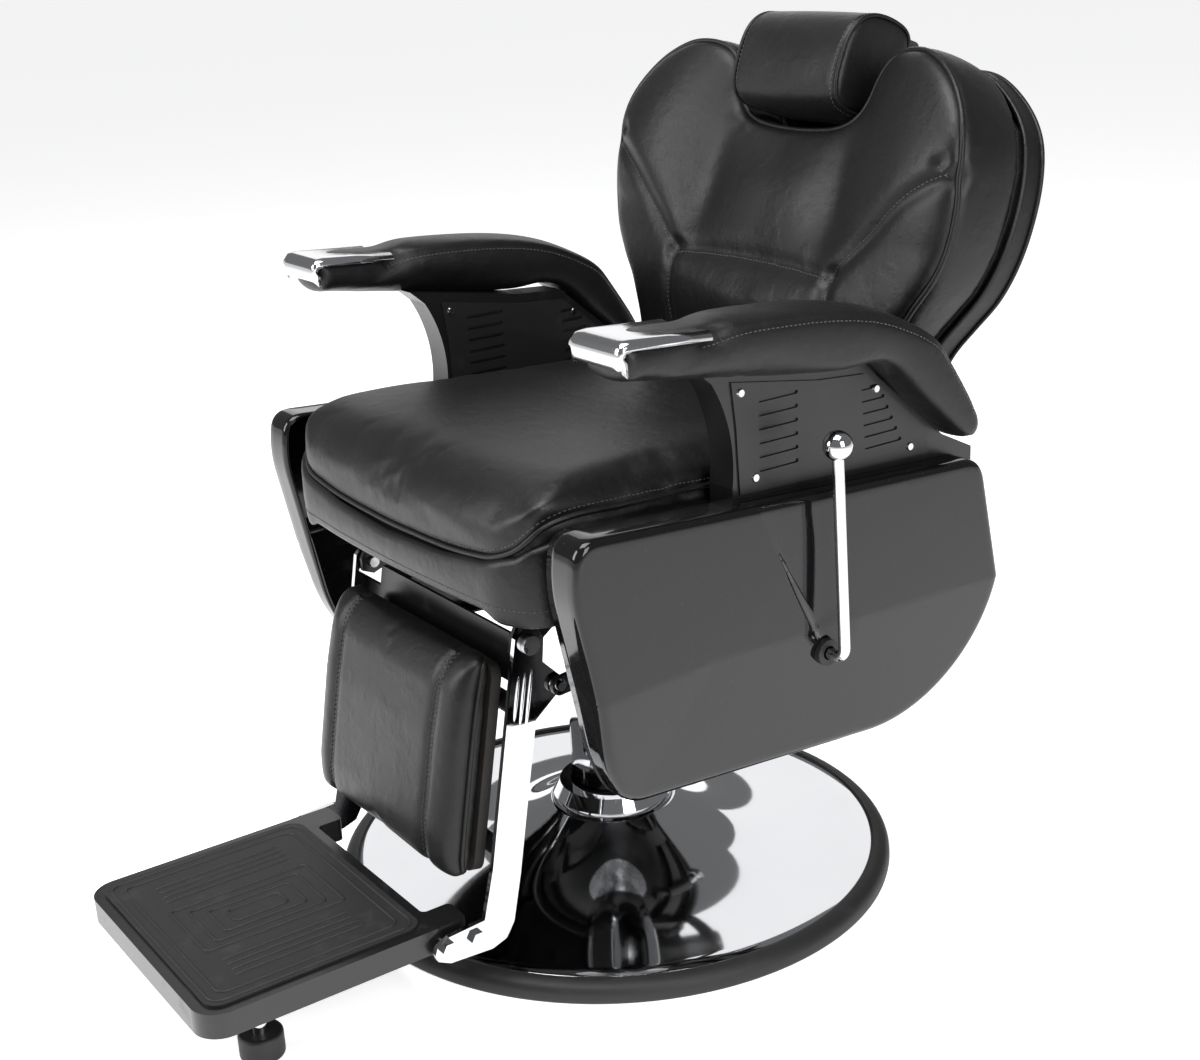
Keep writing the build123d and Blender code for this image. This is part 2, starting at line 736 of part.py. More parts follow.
def panel_block(side, inset):
    """A faceted side panel as a solid block, drawn in by inset on every face but its open one."""
    face_x = side * (panel_outer_x - inset)
    reach = 1 if inset else 0
    with BuildPart() as block:
        with BuildSketch(Plane.YZ.offset(side * (panel_outer_x - panel_depth - reach))) as outline:
            with BuildLine():
                Polyline(*panel_corners)
                ThreePointArc(*panel_rear_arc)
            make_face()
            for k, radius in zip((1, 3, 6), panel_fillets):
                y, z = panel_corners[k]
                fillet(min(outline.vertices(), key=lambda v: hypot(v.X - y, v.Y - z)), radius)
            if inset:
                offset(amount=-inset, mode=Mode.REPLACE)
        extrude(amount=side * (panel_depth - inset + reach))
        split(bisect_by=panel_facet(side, face_x, panel_crease_rear, (-95, panel_bottom_z)), keep=Keep.BOTTOM)
        split(bisect_by=panel_facet(side, face_x, panel_crease_front, (-187, 258)), keep=Keep.BOTTOM)
    return block.part


for name, side in sides.items():
    shell = panel_block(side, 0)
    hollow = panel_block(side, panel_wall)
    with BuildPart() as side_panel:
        add(shell)
        add(hollow, mode=Mode.SUBTRACT)
        with BuildSketch(Plane.YZ.offset(side * (panel_outer_x - panel_depth - 1))):
            with Locations((132, 430)):
                Rectangle(350, 220)
        extrude(amount=side * (arm_outer_x + 2 - panel_outer_x + panel_depth + 1), mode=Mode.SUBTRACT)
        with BuildSketch(Plane.YZ.offset(side * arm_outer_x)):
            with Locations((-5, 440), (190, 455), (120, 375)):
                Circle(panel_boss_radius)
        extrude(amount=side * (panel_outer_x - panel_wall + 0.5 - arm_outer_x))
        if side > 0:
            with BuildSketch(Plane.YZ.offset(panel_outer_x - panel_depth)):
                with Locations((lever_y, lever_z)):
                    Circle(grommet_radius)
            extrude(amount=panel_depth + 5, mode=Mode.SUBTRACT)
    finished[f"side_panel_{name}"] = side_panel

# ---------------------------------------------------------------- recline lever

with BuildPart() as lever_grommet:
    with BuildSketch(Plane.YZ.offset(panel_outer_x - panel_wall - 3)):
        with Locations((lever_y, lever_z)):
            Circle(grommet_radius)
            Circle(lever_radius + 1.5, mode=Mode.SUBTRACT)
    extrude(amount=panel_wall + 5)
finished["lever_grommet"] = lever_grommet

with BuildPart() as lever_rod:
    with BuildLine():
        FilletPolyline(
            (arm_inner_x - 6, lever_y, lever_z), (lever_reach_x, lever_y, lever_z),
            (lever_reach_x, lever_knob_y, lever_knob_z - 9), radius=14,
        )
    with BuildSketch(Plane.YZ.offset(arm_inner_x - 6)):
        with Locations((lever_y, lever_z)):
            Circle(lever_radius)
    sweep()
    with BuildSketch(Plane.YZ.offset(arm_inner_x + arm_wall + 0.5)):
        with Locations((lever_y, lever_z)):
            Circle(lever_radius + 6)
    extrude(amount=14)
finished["lever_rod"] = lever_rod

with BuildPart() as lever_knob:
    with Locations((lever_reach_x, lever_knob_y, lever_knob_z)):
        Sphere(lever_knob_radius)
    add(lever_rod.part, mode=Mode.SUBTRACT)
finished["lever_knob"] = lever_knob

# ---------------------------------------------------------------- back

plate_end = back_point(cross_bar_v, -cross_bar_radius)
with BuildPart() as back_hinge_plates:
    for side in sides.values():
        with BuildSketch(Plane.YZ.offset(side * hinge_plate_x)):
            with Locations((hinge_y, hinge_z)):
                Circle(20)
            with Locations(plate_end):
                Circle(17)
            with BuildLine():
                Polyline(
                    back_point(0, 19), back_point(cross_bar_v, 4), back_point(cross_bar_v, -29),
                    back_point(0, -20), back_point(0, 19),
                )
            make_face()
            with Locations((hinge_y, hinge_z)):
                Circle(hinge_pin_radius + running_clearance, mode=Mode.SUBTRACT)
        extrude(amount=side * hinge_plate_thickness)
finished["back_hinge_plates"] = back_hinge_plates

with BuildPart() as back_cross_bars:
    with BuildSketch(Plane.YZ.offset(-hinge_plate_x)):
        with Locations(plate_end):
            Circle(cross_bar_radius)
            Circle(cross_bar_radius - 2.5, mode=Mode.SUBTRACT)
    extrude(amount=2 * hinge_plate_x)
    with BuildSketch(back_plane.offset(-upper_bar_thickness)):
        with Locations((0, upper_bar_v)):
            Rectangle(2 * upright_u + upright_width, upper_bar_height)
    extrude(amount=upper_bar_thickness)
finished["back_cross_bars"] = back_cross_bars

with BuildPart() as back_uprights:
    with BuildSketch(back_plane):
        for side in sides.values():
            with Locations((side * upright_u, (cross_bar_v + upright_top_v) / 2)):
                Rectangle(upright_width, upright_top_v - cross_bar_v)
    extrude(amount=upright_thickness)
finished["back_uprights"] = back_uprights

lever_x = link_x + link_thickness + 1.0
with BuildPart() as back_levers:
    for side in sides.values():
        with BuildSketch(Plane.YZ.offset(side * lever_x)):
            with BuildLine():
                Polyline(
                    back_point(cross_bar_v - 4, 1), back_point(cross_bar_v - 6, -25),
                    (link_rear_y + 10, link_rear_z), (link_rear_y + 4, link_rear_z - 10),
                    (link_rear_y - 8, link_rear_z - 8), (link_rear_y - 10, link_rear_z),
                    back_point(cross_bar_v - 4, 1),
                )
            make_face()
            with Locations(plate_end):
                Circle(cross_bar_radius, mode=Mode.SUBTRACT)
        extrude(amount=side * hinge_plate_thickness)
        with BuildSketch(Plane.YZ.offset(side * (link_x - 2))):
            with Locations((link_rear_y, link_rear_z)):
                Circle(link_pin_radius)
        extrude(amount=side * (lever_x - link_x + 4))
        with BuildSketch(Plane.YZ.offset(side * spring_fork_x)):
            with BuildLine():
                Polyline(
                    back_point(cross_bar_v - 4, 1), back_point(cross_bar_v - 6, -25),
                    (spring_pivot_y + 10, spring_pivot_z), (spring_pivot_y + 4, spring_pivot_z - 10),
                    (spring_pivot_y - 8, spring_pivot_z - 8), (spring_pivot_y - 10, spring_pivot_z),
                    back_point(cross_bar_v - 4, 1),
                )
            make_face()
            with Locations(plate_end):
                Circle(cross_bar_radius, mode=Mode.SUBTRACT)
        extrude(amount=side * spring_fork_thickness)
    with BuildSketch(Plane.YZ.offset(-spring_fork_x - spring_fork_thickness)):
        with Locations((spring_pivot_y, spring_pivot_z)):
            Circle(link_pin_radius)
    extrude(amount=2 * (spring_fork_x + spring_fork_thickness))
finished["back_levers"] = back_levers


def heart_outline(inset, notch_floor=0.0):
    """Draws the back's outline, drawn in by inset, with its notch no lower than notch_floor."""
    half = [
        (225, 70), (229, 110), (240, 148), (262, 182), (284, 215), (297, 255), (back_half_width, 300),
        (299, 346), (283, 388), (249, 430), (200, 456), (160, 459), (128, 449), (112, 425),
        (notch_half_width, 395), (86, 375), (50, notch_v),
    ]
    right = [(u - inset, v - (inset if v > 420 else 0)) for u, v in half[:11]]
    lobe = half[11:14]
    notch = half[14:]
    right += [(u + (inset if u < 160 else 0), v - inset) for u, v in lobe]
    right += [(u + inset * share, max(v - inset * (1 - share), notch_floor))
              for (u, v), share in zip(notch, (1.0, 0.5, 0.0))]
    left = [(-u, v) for u, v in reversed(right)]
    bottom = (225 - inset, back_bottom_v)
    Polyline(bottom, *right, *left, (-bottom[0], bottom[1]), bottom)


with BuildPart() as back_board:
    with BuildSketch(back_plane.offset(board_w)):
        with BuildLine():
            heart_outline(16)
        make_face()
    extrude(amount=back_board_thickness)
finished["back_board"] = back_board

front_arc = [(-back_half_width - 6, 127), (-200, 124), (-110, 112), (0, 100), (110, 112), (200, 124),
             (back_half_width + 6, 127)]
across_plane = Plane(
    origin=(0, *back_point(back_bottom_v - 5, 0)),
    x_dir=(1, 0, 0),
    z_dir=(0, sin(radians(lean)), cos(radians(lean))),
)
with BuildPart() as back_cushion:
    with BuildSketch(back_plane.offset(cushion_w)):
        with BuildLine():
            heart_outline(0)
        make_face()
    extrude(amount=140)
    with BuildSketch(across_plane):
        with BuildLine():
            Spline(*[(u, -w) for u, w in front_arc])
            Polyline(
                (back_half_width + 6, -127), (back_half_width + 6, 30), (-back_half_width - 6, 30),
                (-back_half_width - 6, -127),
            )
        make_face()
    extrude(amount=450, mode=Mode.INTERSECT)
    with BuildSketch(Plane.YZ.offset(-back_half_width - 10)):
        with BuildLine():
            Polyline(
                back_point(back_bottom_v - 10, 0), back_point(back_bottom_v - 10, 44), back_point(95, 62),
                back_point(140, 82), back_point(175, 88), back_point(240, 96), back_point(330, 113),
                back_point(400, 127), back_point(480, 130), back_point(480, 0),
                back_point(back_bottom_v - 10, 0),
            )
        make_face()
    extrude(amount=2 * back_half_width + 20, mode=Mode.INTERSECT)
finished["back_cushion"] = back_cushion

cavity_slot = upright_width + 6
with BuildPart() as back_rear_cover:
    with BuildSketch(back_plane.offset(cover_back_w)):
        with BuildLine():
            heart_outline(cover_inset, cover_notch_v)
        make_face()
    extrude(amount=cushion_w - cover_back_w - 0.5)
    with BuildSketch(back_plane.offset(cover_back_w + cover_wall)):
        with BuildLine():
            heart_outline(cover_inset + cover_wall, cover_notch_v - cover_wall)
        make_face()
    extrude(amount=cushion_w - cover_back_w, mode=Mode.SUBTRACT)
    with BuildSketch(back_plane.offset(-2)):
        for side in sides.values():
            with Locations((side * upright_u, back_bottom_v)):
                Rectangle(cavity_slot, 30)
        with Locations((0, cover_notch_v - 10)):
            Rectangle(2 * headrest_bar_half + 12, 60)
    extrude(amount=cushion_w, mode=Mode.SUBTRACT)
finished["back_rear_cover"] = back_rear_cover

# ---------------------------------------------------------------- headrest

with BuildPart() as headrest_socket:
    with BuildSketch(back_plane):
        with Locations((0, upper_bar_v + 10)):
            Rectangle(2 * headrest_bar_half + 24, 50)
    extrude(amount=upright_thickness)
    with BuildSketch(back_plane):
        with Locations((0, upper_bar_v + 10)):
            Rectangle(2 * (headrest_bar_half + slide_clearance), 52)
    extrude(amount=headrest_bar_thickness + 2 * slide_clearance, mode=Mode.SUBTRACT)
finished["headrest_socket"] = headrest_socket

headrest_middle_v = (headrest_bottom_v + headrest_top_v) / 2
with BuildPart() as headrest_bar:
    with BuildSketch(back_plane.offset(slide_clearance)):
        with Locations((0, (headrest_bar_bottom_v + headrest_top_v - 10) / 2)):
            Rectangle(2 * headrest_bar_half, headrest_top_v - 10 - headrest_bar_bottom_v)
    extrude(amount=headrest_bar_thickness)
finished["headrest_bar"] = headrest_bar

headrest_board_w = slide_clearance + headrest_bar_thickness
with BuildPart() as headrest_board:
    with BuildSketch(back_plane.offset(headrest_board_w)):
        with Locations((0, headrest_middle_v)):
            RectangleRounded(2 * headrest_half_width - 16, headrest_top_v - headrest_bottom_v - 16, 10)
    extrude(amount=headrest_board_thickness)
finished["headrest_board"] = headrest_board

headrest_rear_w = headrest_board_w + headrest_board_thickness
with BuildPart() as headrest_cushion:
    with BuildSketch(Plane.YZ.offset(-headrest_half_width)):
        with BuildLine():
            Polyline(
                back_point(headrest_bottom_v, headrest_rear_w), back_point(headrest_bottom_v, 88),
                back_point(headrest_bottom_v + 5, 101),
                back_point(headrest_bottom_v + 24, headrest_front_w - 2),
                back_point(headrest_bottom_v + 50, headrest_front_w), back_point(headrest_top_v - 24, 112),
                back_point(headrest_top_v - 7, 98), back_point(headrest_top_v, 80),
                back_point(headrest_top_v, 40), back_point(headrest_top_v - 12, headrest_rear_w),
                back_point(headrest_bottom_v, headrest_rear_w),
            )
        make_face()
    extrude(amount=2 * headrest_half_width)
finished["headrest_cushion"] = headrest_cushion

# ---------------------------------------------------------------- leg rest

with BuildPart() as leg_rails:
    for side in sides.values():
        with BuildSketch(Plane.YZ.offset(side * leg_rail_x)):
            with BuildLine():
                Polyline(
                    leg_point(-6, 17), leg_point(240, 17), (-283, 92), (-326, 89), (-340, 82), (-343, 74),
                    (-340, 66), (-326, 59), (-276, 56), (-258, 62), (-248, 78), leg_point(250, -18),
                    leg_point(82, -18), (link_front_y - 2, link_front_z - 12),
                    (link_front_y + 8, link_front_z - 9),
                    (link_front_y + 11, link_front_z + 2), leg_point(20, -19), leg_point(-6, -17),
                    leg_point(-18, -8), leg_point(-18, 8), leg_point(-6, 17),
                )
            make_face()
            with Locations((leg_pivot_y, leg_pivot_z)):
                Circle(leg_pin_radius + running_clearance, mode=Mode.SUBTRACT)
            with Locations((foot_hinge_y, foot_hinge_z)):
                Circle(foot_bolt_radius, mode=Mode.SUBTRACT)
        extrude(amount=side * leg_rail_thickness)
        with BuildSketch(Plane.YZ.offset(side * (leg_rail_outer_x - 1))):
            with Locations((link_front_y, link_front_z)):
                Circle(link_pin_radius)
        extrude(amount=side * (link_x + link_thickness + 2 - leg_rail_outer_x + 1))
finished["leg_rails"] = leg_rails

with BuildPart() as leg_cross_tubes:
    with BuildSketch(Plane.YZ.offset(-leg_rail_x)):
        with Locations(leg_point(70, 0), leg_point(225, 0)):
            Circle(leg_tube_radius)
            Circle(leg_tube_radius - 2, mode=Mode.SUBTRACT)
    extrude(amount=2 * leg_rail_x)
    with BuildSketch(leg_plane.offset(-leg_plate_thickness)):
        with Locations((0, -leg_plate_shoulder_s)):
            Rectangle(2 * leg_plate_half_x, leg_plate_shoulder_s + leg_plate_top,
                      align=(Align.CENTER, Align.MIN))
            Rectangle(2 * leg_rail_x, leg_plate_depth, align=(Align.CENTER, Align.MAX))
    extrude(amount=leg_plate_thickness)
finished["leg_cross_tubes"] = leg_cross_tubes

with BuildPart() as leg_board:
    with BuildSketch(leg_plane.offset(leg_board_n)):
        with Locations((0, -(30 + leg_pad_bottom_s - 6) / 2)):
            RectangleRounded(2 * leg_pad_half_width - 16, leg_pad_bottom_s - 36, 14)
    extrude(amount=leg_board_thickness)
finished["leg_board"] = leg_board

with BuildPart() as leg_pad:
    with BuildSketch(Plane.YZ.offset(-leg_pad_half_width)):
        with BuildLine():
            Polyline(
                leg_point(22, leg_pad_n), leg_point(12, leg_pad_n + 4), leg_point(14, 36), leg_point(32, 50),
                leg_point(60, 60), leg_point(110, leg_pad_front_n), leg_point(215, leg_pad_front_n),
                leg_point(248, 60), leg_point(leg_pad_bottom_s, 46), leg_point(leg_pad_bottom_s, leg_pad_n),
                leg_point(22, leg_pad_n),
            )
        make_face()
    extrude(amount=2 * leg_pad_half_width)
finished["leg_pad"] = leg_pad

rear_bolt_y = foot_hinge_y + 34.0
with BuildPart() as footplate_bolts:
    for side in sides.values():
        with BuildSketch(Plane.YZ.offset(side * (foot_half_width - 12))):
            with Locations((foot_hinge_y, foot_hinge_z)):
                Circle(foot_bolt_radius)
        extrude(amount=side * (leg_rail_outer_x - foot_half_width + 12))
        with BuildSketch(Plane.YZ.offset(side * leg_rail_outer_x)):
            with Locations((foot_hinge_y, foot_hinge_z), (rear_bolt_y, foot_hinge_z - 1)):
                RegularPolygon(bolt_head_radius, 6)
        extrude(amount=side * 6)
finished["footplate_bolts"] = footplate_bolts

# ---------------------------------------------------------------- footplate

foot_bottom_z = foot_top_z - foot_depth
boss_radius = stud_radius + 4.0
with BuildPart() as foot_tray:
    with BuildSketch(Plane.XY.offset(foot_bottom_z)):
        with BuildLine():
            FilletPolyline(
                (-foot_ear_x, foot_rear_y), (-foot_ear_x, foot_ear_rear_y),
                (-foot_half_width, foot_ear_rear_y), (-foot_half_width, foot_front_y),
                (foot_half_width, foot_front_y), (foot_half_width, foot_ear_rear_y),
                (foot_ear_x, foot_ear_rear_y), (foot_ear_x, foot_rear_y),
                radius=[6, 6, 8, foot_corner, foot_corner, 8, 6, 6], close=True,
            )
        make_face()
    extrude(amount=foot_depth)
    with BuildSketch(Plane.XY.offset(foot_bottom_z)):
        with BuildLine():
            FilletPolyline(
                (-foot_half_width + foot_wall, foot_rear_y - 26),
                (-foot_half_width + foot_wall, foot_front_y + foot_wall),
                (foot_half_width - foot_wall, foot_front_y + foot_wall),
                (foot_half_width - foot_wall, foot_rear_y - 26),
                radius=[3, foot_corner - foot_wall, foot_corner - foot_wall, 3], close=True,
            )
        make_face()
        with Locations((-stud_x, stud_y), (stud_x, stud_y)):
            Circle(boss_radius, mode=Mode.SUBTRACT)
    extrude(amount=foot_depth - foot_wall, mode=Mode.SUBTRACT)
    for side in sides.values():
        with BuildSketch(Plane.YZ.offset(side * (foot_half_width - 14))):
            with Locations((foot_hinge_y, foot_hinge_z)):
                Circle(foot_bolt_radius + running_clearance)
        extrude(amount=side * 20, mode=Mode.SUBTRACT)
    with BuildSketch(Plane.XY.offset(foot_bottom_z)):
        with Locations((-stud_x, stud_y), (stud_x, stud_y)):
            Circle(stud_radius)
    extrude(amount=foot_depth - foot_wall, mode=Mode.SUBTRACT)
finished["foot_tray"] = foot_tray

with BuildPart() as foot_mat:
    with BuildSketch(Plane.XY.offset(foot_top_z)):
        with Locations((0, (foot_front_y + foot_rear_y) / 2)):
            RectangleRounded(2 * (foot_half_width - mat_margin),
                             foot_rear_y - foot_front_y - 2 * mat_margin, 18)
    extrude(amount=mat_height)
finished["foot_mat"] = foot_mat

stud_bottom_z = knob_floor + knob_travel + 1.0
with BuildPart() as foot_studs:
    with BuildSketch(Plane.XY.offset(stud_bottom_z)):
        with Locations((-stud_x, stud_y), (stud_x, stud_y)):
            Circle(stud_radius)
    extrude(amount=foot_top_z - foot_wall - stud_bottom_z)
finished["foot_studs"] = foot_studs

for name, side in sides.items():
    with BuildPart() as foot_knob:
        with BuildSketch(Plane.XY):
            with Locations((side * stud_x, stud_y)):
                Circle(knob_radius)
        extrude(amount=knob_height)
        fillet(foot_knob.edges().filter_by(GeomType.CIRCLE), 4)
        with BuildSketch(Plane.XY.offset(knob_floor)):
            with Locations((side * stud_x, stud_y)):
                Circle(stud_radius + running_clearance)
        extrude(amount=knob_height, mode=Mode.SUBTRACT)
    finished[f"foot_knob_{name}"] = foot_knob

# ---------------------------------------------------------------- linkage and gas spring

link_run = (link_front_y - link_rear_y, link_front_z - link_rear_z)
link_angle = degrees(atan2(link_run[1], link_run[0]))
link_length = hypot(*link_run)
link_middle = ((link_front_y + link_rear_y) / 2, (link_front_z + link_rear_z) / 2)
with BuildPart() as link_bars:
    for side in sides.values():
        with BuildSketch(Plane.YZ.offset(side * link_x)):
            with Locations(Location((*link_middle, 0), (0, 0, link_angle))):
                SlotCenterToCenter(link_length, link_width)
            with Locations((link_rear_y, link_rear_z)):
                Circle(link_pin_radius + running_clearance, mode=Mode.SUBTRACT)
            with Locations((link_front_y, link_front_z)):
                Circle(link_pin_radius + link_open_clearance, mode=Mode.SUBTRACT)
        extrude(amount=side * link_thickness)
finished["link_bars"] = link_bars

spring_run = (spring_pivot_y - spring_anchor_y, spring_pivot_z - spring_anchor_z)
spring_length = hypot(*spring_run)
spring_plane = Plane(
    origin=(0, spring_anchor_y, spring_anchor_z),
    x_dir=(1, 0, 0),
    z_dir=(0, spring_run[0], spring_run[1]),
)
eye_half = spring_fork_x - 0.5
with BuildPart() as gas_spring_body:
    with BuildSketch(Plane.YZ.offset(-eye_half)):
        with Locations((spring_anchor_y, spring_anchor_z)):
            Circle(9)
    extrude(amount=2 * eye_half)
    with BuildSketch(spring_plane.offset(spring_neck)):
        Circle(spring_radius)
    extrude(amount=spring_body_length)
    with BuildSketch(spring_plane):
        Circle(6)
    extrude(amount=spring_neck)
    with BuildSketch(Plane.YZ.offset(-eye_half - 1)):
        with Locations((spring_anchor_y, spring_anchor_z)):
            Circle(link_pin_radius + running_clearance)
    extrude(amount=2 * eye_half + 2, mode=Mode.SUBTRACT)
    with BuildSketch(spring_plane.offset(spring_bore_start)):
        Circle(spring_rod_radius + running_clearance)
    extrude(amount=spring_body_length, mode=Mode.SUBTRACT)
finished["gas_spring_body"] = gas_spring_body

eye_radius = link_pin_radius + spring_open_clearance + 4
with BuildPart() as gas_spring_rod:
    with BuildSketch(spring_plane.offset(spring_rod_start)):
        Circle(spring_rod_radius)
    extrude(amount=spring_length - spring_rod_start - eye_radius + 2)
    with BuildSketch(Plane.YZ.offset(-eye_half)):
        with Locations((spring_pivot_y, spring_pivot_z)):
            Circle(eye_radius)
            Circle(link_pin_radius + spring_open_clearance, mode=Mode.SUBTRACT)
    extrude(amount=2 * eye_half)
finished["gas_spring_rod"] = gas_spring_rod

# ---------------------------------------------------------------- write every piece

os.makedirs("parts", exist_ok=True)
for label, piece in finished.items():
    piece.part.label = label
    export_step(piece.part, f"parts/{label}.step")
print(len(finished), "pieces")
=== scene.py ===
import json
import math

import bmesh
import bpy
import numpy as np
from mathutils import Matrix, Vector
from mathutils.bvhtree import BVHTree
from mathutils.geometry import delaunay_2d_cdt
from mathutils.kdtree import KDTree


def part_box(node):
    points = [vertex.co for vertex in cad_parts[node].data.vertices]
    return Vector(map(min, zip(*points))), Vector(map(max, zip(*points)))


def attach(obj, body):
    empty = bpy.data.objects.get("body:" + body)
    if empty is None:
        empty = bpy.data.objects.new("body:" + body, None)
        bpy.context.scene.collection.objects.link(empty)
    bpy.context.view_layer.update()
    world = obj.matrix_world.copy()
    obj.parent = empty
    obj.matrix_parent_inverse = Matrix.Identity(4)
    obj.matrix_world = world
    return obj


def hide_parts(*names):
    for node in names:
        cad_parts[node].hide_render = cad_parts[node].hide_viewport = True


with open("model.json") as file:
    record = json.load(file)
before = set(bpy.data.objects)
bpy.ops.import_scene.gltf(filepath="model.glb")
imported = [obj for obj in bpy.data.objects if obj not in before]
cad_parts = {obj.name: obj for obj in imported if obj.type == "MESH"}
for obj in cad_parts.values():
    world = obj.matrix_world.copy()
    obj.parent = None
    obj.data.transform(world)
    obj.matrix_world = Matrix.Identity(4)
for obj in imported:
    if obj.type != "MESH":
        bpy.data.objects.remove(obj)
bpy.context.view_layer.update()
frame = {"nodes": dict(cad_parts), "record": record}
nodes = frame["nodes"]
bodyOf = {n: b for b, group in frame["record"]["behaviour"]["bodies"].items() for n in group}
mm = 0.001

# the camera stands at the sitter's left front, a little above the arms
shot = {"lens": 53.42, "place": (1.5688, -1.0694, 1.0620),
        "right": (0.57681, 0.81541, -0.04892), "up": (-0.24047, 0.22673, 0.94380),
        "back": (0.78068, -0.53263, 0.32686)}
camera = bpy.data.objects.new("camera", bpy.data.cameras.new("camera"))
camera.data.lens = shot["lens"]
camera.data.sensor_width = 36.0
camera.data.clip_end = 900.0
turn = Matrix((shot["right"], shot["up"], shot["back"])).transposed()
camera.matrix_world = Matrix.Translation(shot["place"]) @ turn.to_4x4()
bpy.context.scene.collection.objects.link(camera)
bpy.context.scene.camera = camera
print("camera in place")


# shader maths: a socket that adds, multiplies and so on

class Wire:
    def __init__(self, finish, socket):
        self.finish = finish
        self.socket = socket

    def maths(self, operation, first, second):
        node = self.finish.add("ShaderNodeMath", {"operation": operation}, {0: first, 1: second})
        return node.wire(0)

    def __add__(self, other):
        return self.maths("ADD", self, other)

    def __radd__(self, other):
        return self.maths("ADD", other, self)

    def __sub__(self, other):
        return self.maths("SUBTRACT", self, other)

    def __rsub__(self, other):
        return self.maths("SUBTRACT", other, self)

    def __mul__(self, other):
        return self.maths("MULTIPLY", self, other)

    def __rmul__(self, other):
        return self.maths("MULTIPLY", other, self)


class Added:
    def __init__(self, finish, node):
        self.finish = finish
        self.node = node

    def wire(self, name):
        return Wire(self.finish, self.node.outputs[name])


class Finish:
    def __init__(self, name, **fixed):
        self.material = bpy.data.materials.new(name)
        self.material.use_nodes = True
        self.tree = self.material.node_tree
        self.shader = self.tree.nodes["Principled BSDF"]
        for socket, value in fixed.items():
            self.shader.inputs[socket.replace("_", " ")].default_value = value
        self.place = self.add("ShaderNodeTexCoord", {}, {}).wire("Object")

    def add(self, kind, settings, sockets):
        node = self.tree.nodes.new(kind)
        for key, value in settings.items():
            if key == "stops":
                for stop, (at, colour) in zip(self.stopsFor(node, len(value)), value):
                    stop.position = at
                    stop.color = colour
            else:
                setattr(node, key, value)
        for key, value in sockets.items():
            self.feed(node.inputs[key], value)
        return Added(self, node)

    def stopsFor(self, node, count):
        while len(node.color_ramp.elements) < count:
            node.color_ramp.elements.new(0.5)
        return node.color_ramp.elements

    def feed(self, socket, value):
        if isinstance(value, Wire):
            self.tree.links.new(value.socket, socket)
        else:
            socket.default_value = value

    def noise(self, scale, detail=2.0, roughness=0.5, at=None):
        return self.add("ShaderNodeTexNoise", {}, {
            "Vector": at or self.place, "Scale": scale, "Detail": detail, "Roughness": roughness,
        }).wire("Fac")

    def cells(self, scale, feature="DISTANCE_TO_EDGE", at=None):
        return self.add("ShaderNodeTexVoronoi", {"feature": feature}, {
            "Vector": at or self.place, "Scale": scale,
        }).wire("Distance")

    def ramp(self, value, low, high):
        return self.add("ShaderNodeMapRange", {"interpolation_type": "SMOOTHSTEP"}, {
            "Value": value, "From Min": low, "From Max": high,
        }).wire("Result")

    def blendColours(self, share, dark, light):
        return self.add("ShaderNodeMix", {"data_type": "RGBA"}, {0: share, 6: dark, 7: light}).wire(2)

    def stretch(self, x, y, z):
        return self.add("ShaderNodeMapping", {}, {"Vector": self.place, "Scale": (x, y, z)}).wire("Vector")

    def bump(self, height, strength, distance, under=None):
        sockets = {"Height": height, "Strength": strength, "Distance": distance}
        if under:
            sockets["Normal"] = under
        return self.add("ShaderNodeBump", {}, sockets).wire("Normal")

    def shine(self, **wires):
        for socket, value in wires.items():
            self.feed(self.shader.inputs[socket.replace("_", " ")], value)
        return self.material


def makeVinyl(name, dark, light, grainSize, sheen):
    f = Finish(name, Specular_IOR_Level=0.3, Sheen_Weight=sheen, Sheen_Roughness=0.4)
    warp = f.noise(45.0, 3.0)
    grain = f.ramp(f.cells(1.0 / grainSize), 0.02, 0.22) * 0.7 + f.noise(2.2 / grainSize, 2.0) * 0.5
    creases = f.ramp(f.noise(26.0, 4.0, 0.55), 0.42, 0.62)
    soft = f.noise(7.0, 2.0)
    rubbed = f.ramp(f.noise(4.0, 4.0), 0.5, 0.75)
    lump = f.bump(soft + 0.25 * creases, 0.22, 0.006)
    skin = f.bump(grain, 0.16, 0.0005, lump)
    return f.shine(
        Base_Color=f.blendColours(0.55 * warp + 0.35 * rubbed, dark, light),
        Roughness=0.33 + 0.09 * grain + 0.07 * rubbed, Normal=skin)


def makeChrome(name, colour, cloud):
    f = Finish(name, Metallic=1.0)
    smear = f.noise(9.0, 5.0, 0.6)
    lines = f.noise(1.0, 2.0, 0.5, f.stretch(30.0, 30.0, 900.0))
    dust = f.ramp(f.noise(120.0, 3.0), 0.6, 0.8)
    return f.shine(
        Base_Color=f.blendColours(smear, colour, tuple(0.93 * c for c in colour[:3]) + (1.0,)),
        Roughness=cloud + 0.045 * smear + 0.03 * dust,
        Normal=f.bump(lines, 0.03, 0.0003))


def makeGlossPanel(name):
    f = Finish(name, Specular_IOR_Level=0.22, Coat_Roughness=0.03, Coat_IOR=1.4)
    peel = f.noise(60.0, 1.0)
    swirl = f.ramp(f.noise(1.0, 3.0, 0.5, f.stretch(40.0, 14.0, 260.0)), 0.55, 0.75)
    dust = f.ramp(f.noise(300.0, 2.0), 0.66, 0.8)
    return f.shine(
        Base_Color=f.blendColours(dust, (0.0045, 0.0045, 0.005, 1), (0.03, 0.03, 0.031, 1)),
        Roughness=0.07 + 0.05 * swirl + 0.06 * dust,
        Coat_Weight=0.4 - 0.2 * dust, Normal=f.bump(peel, 0.04, 0.0008))


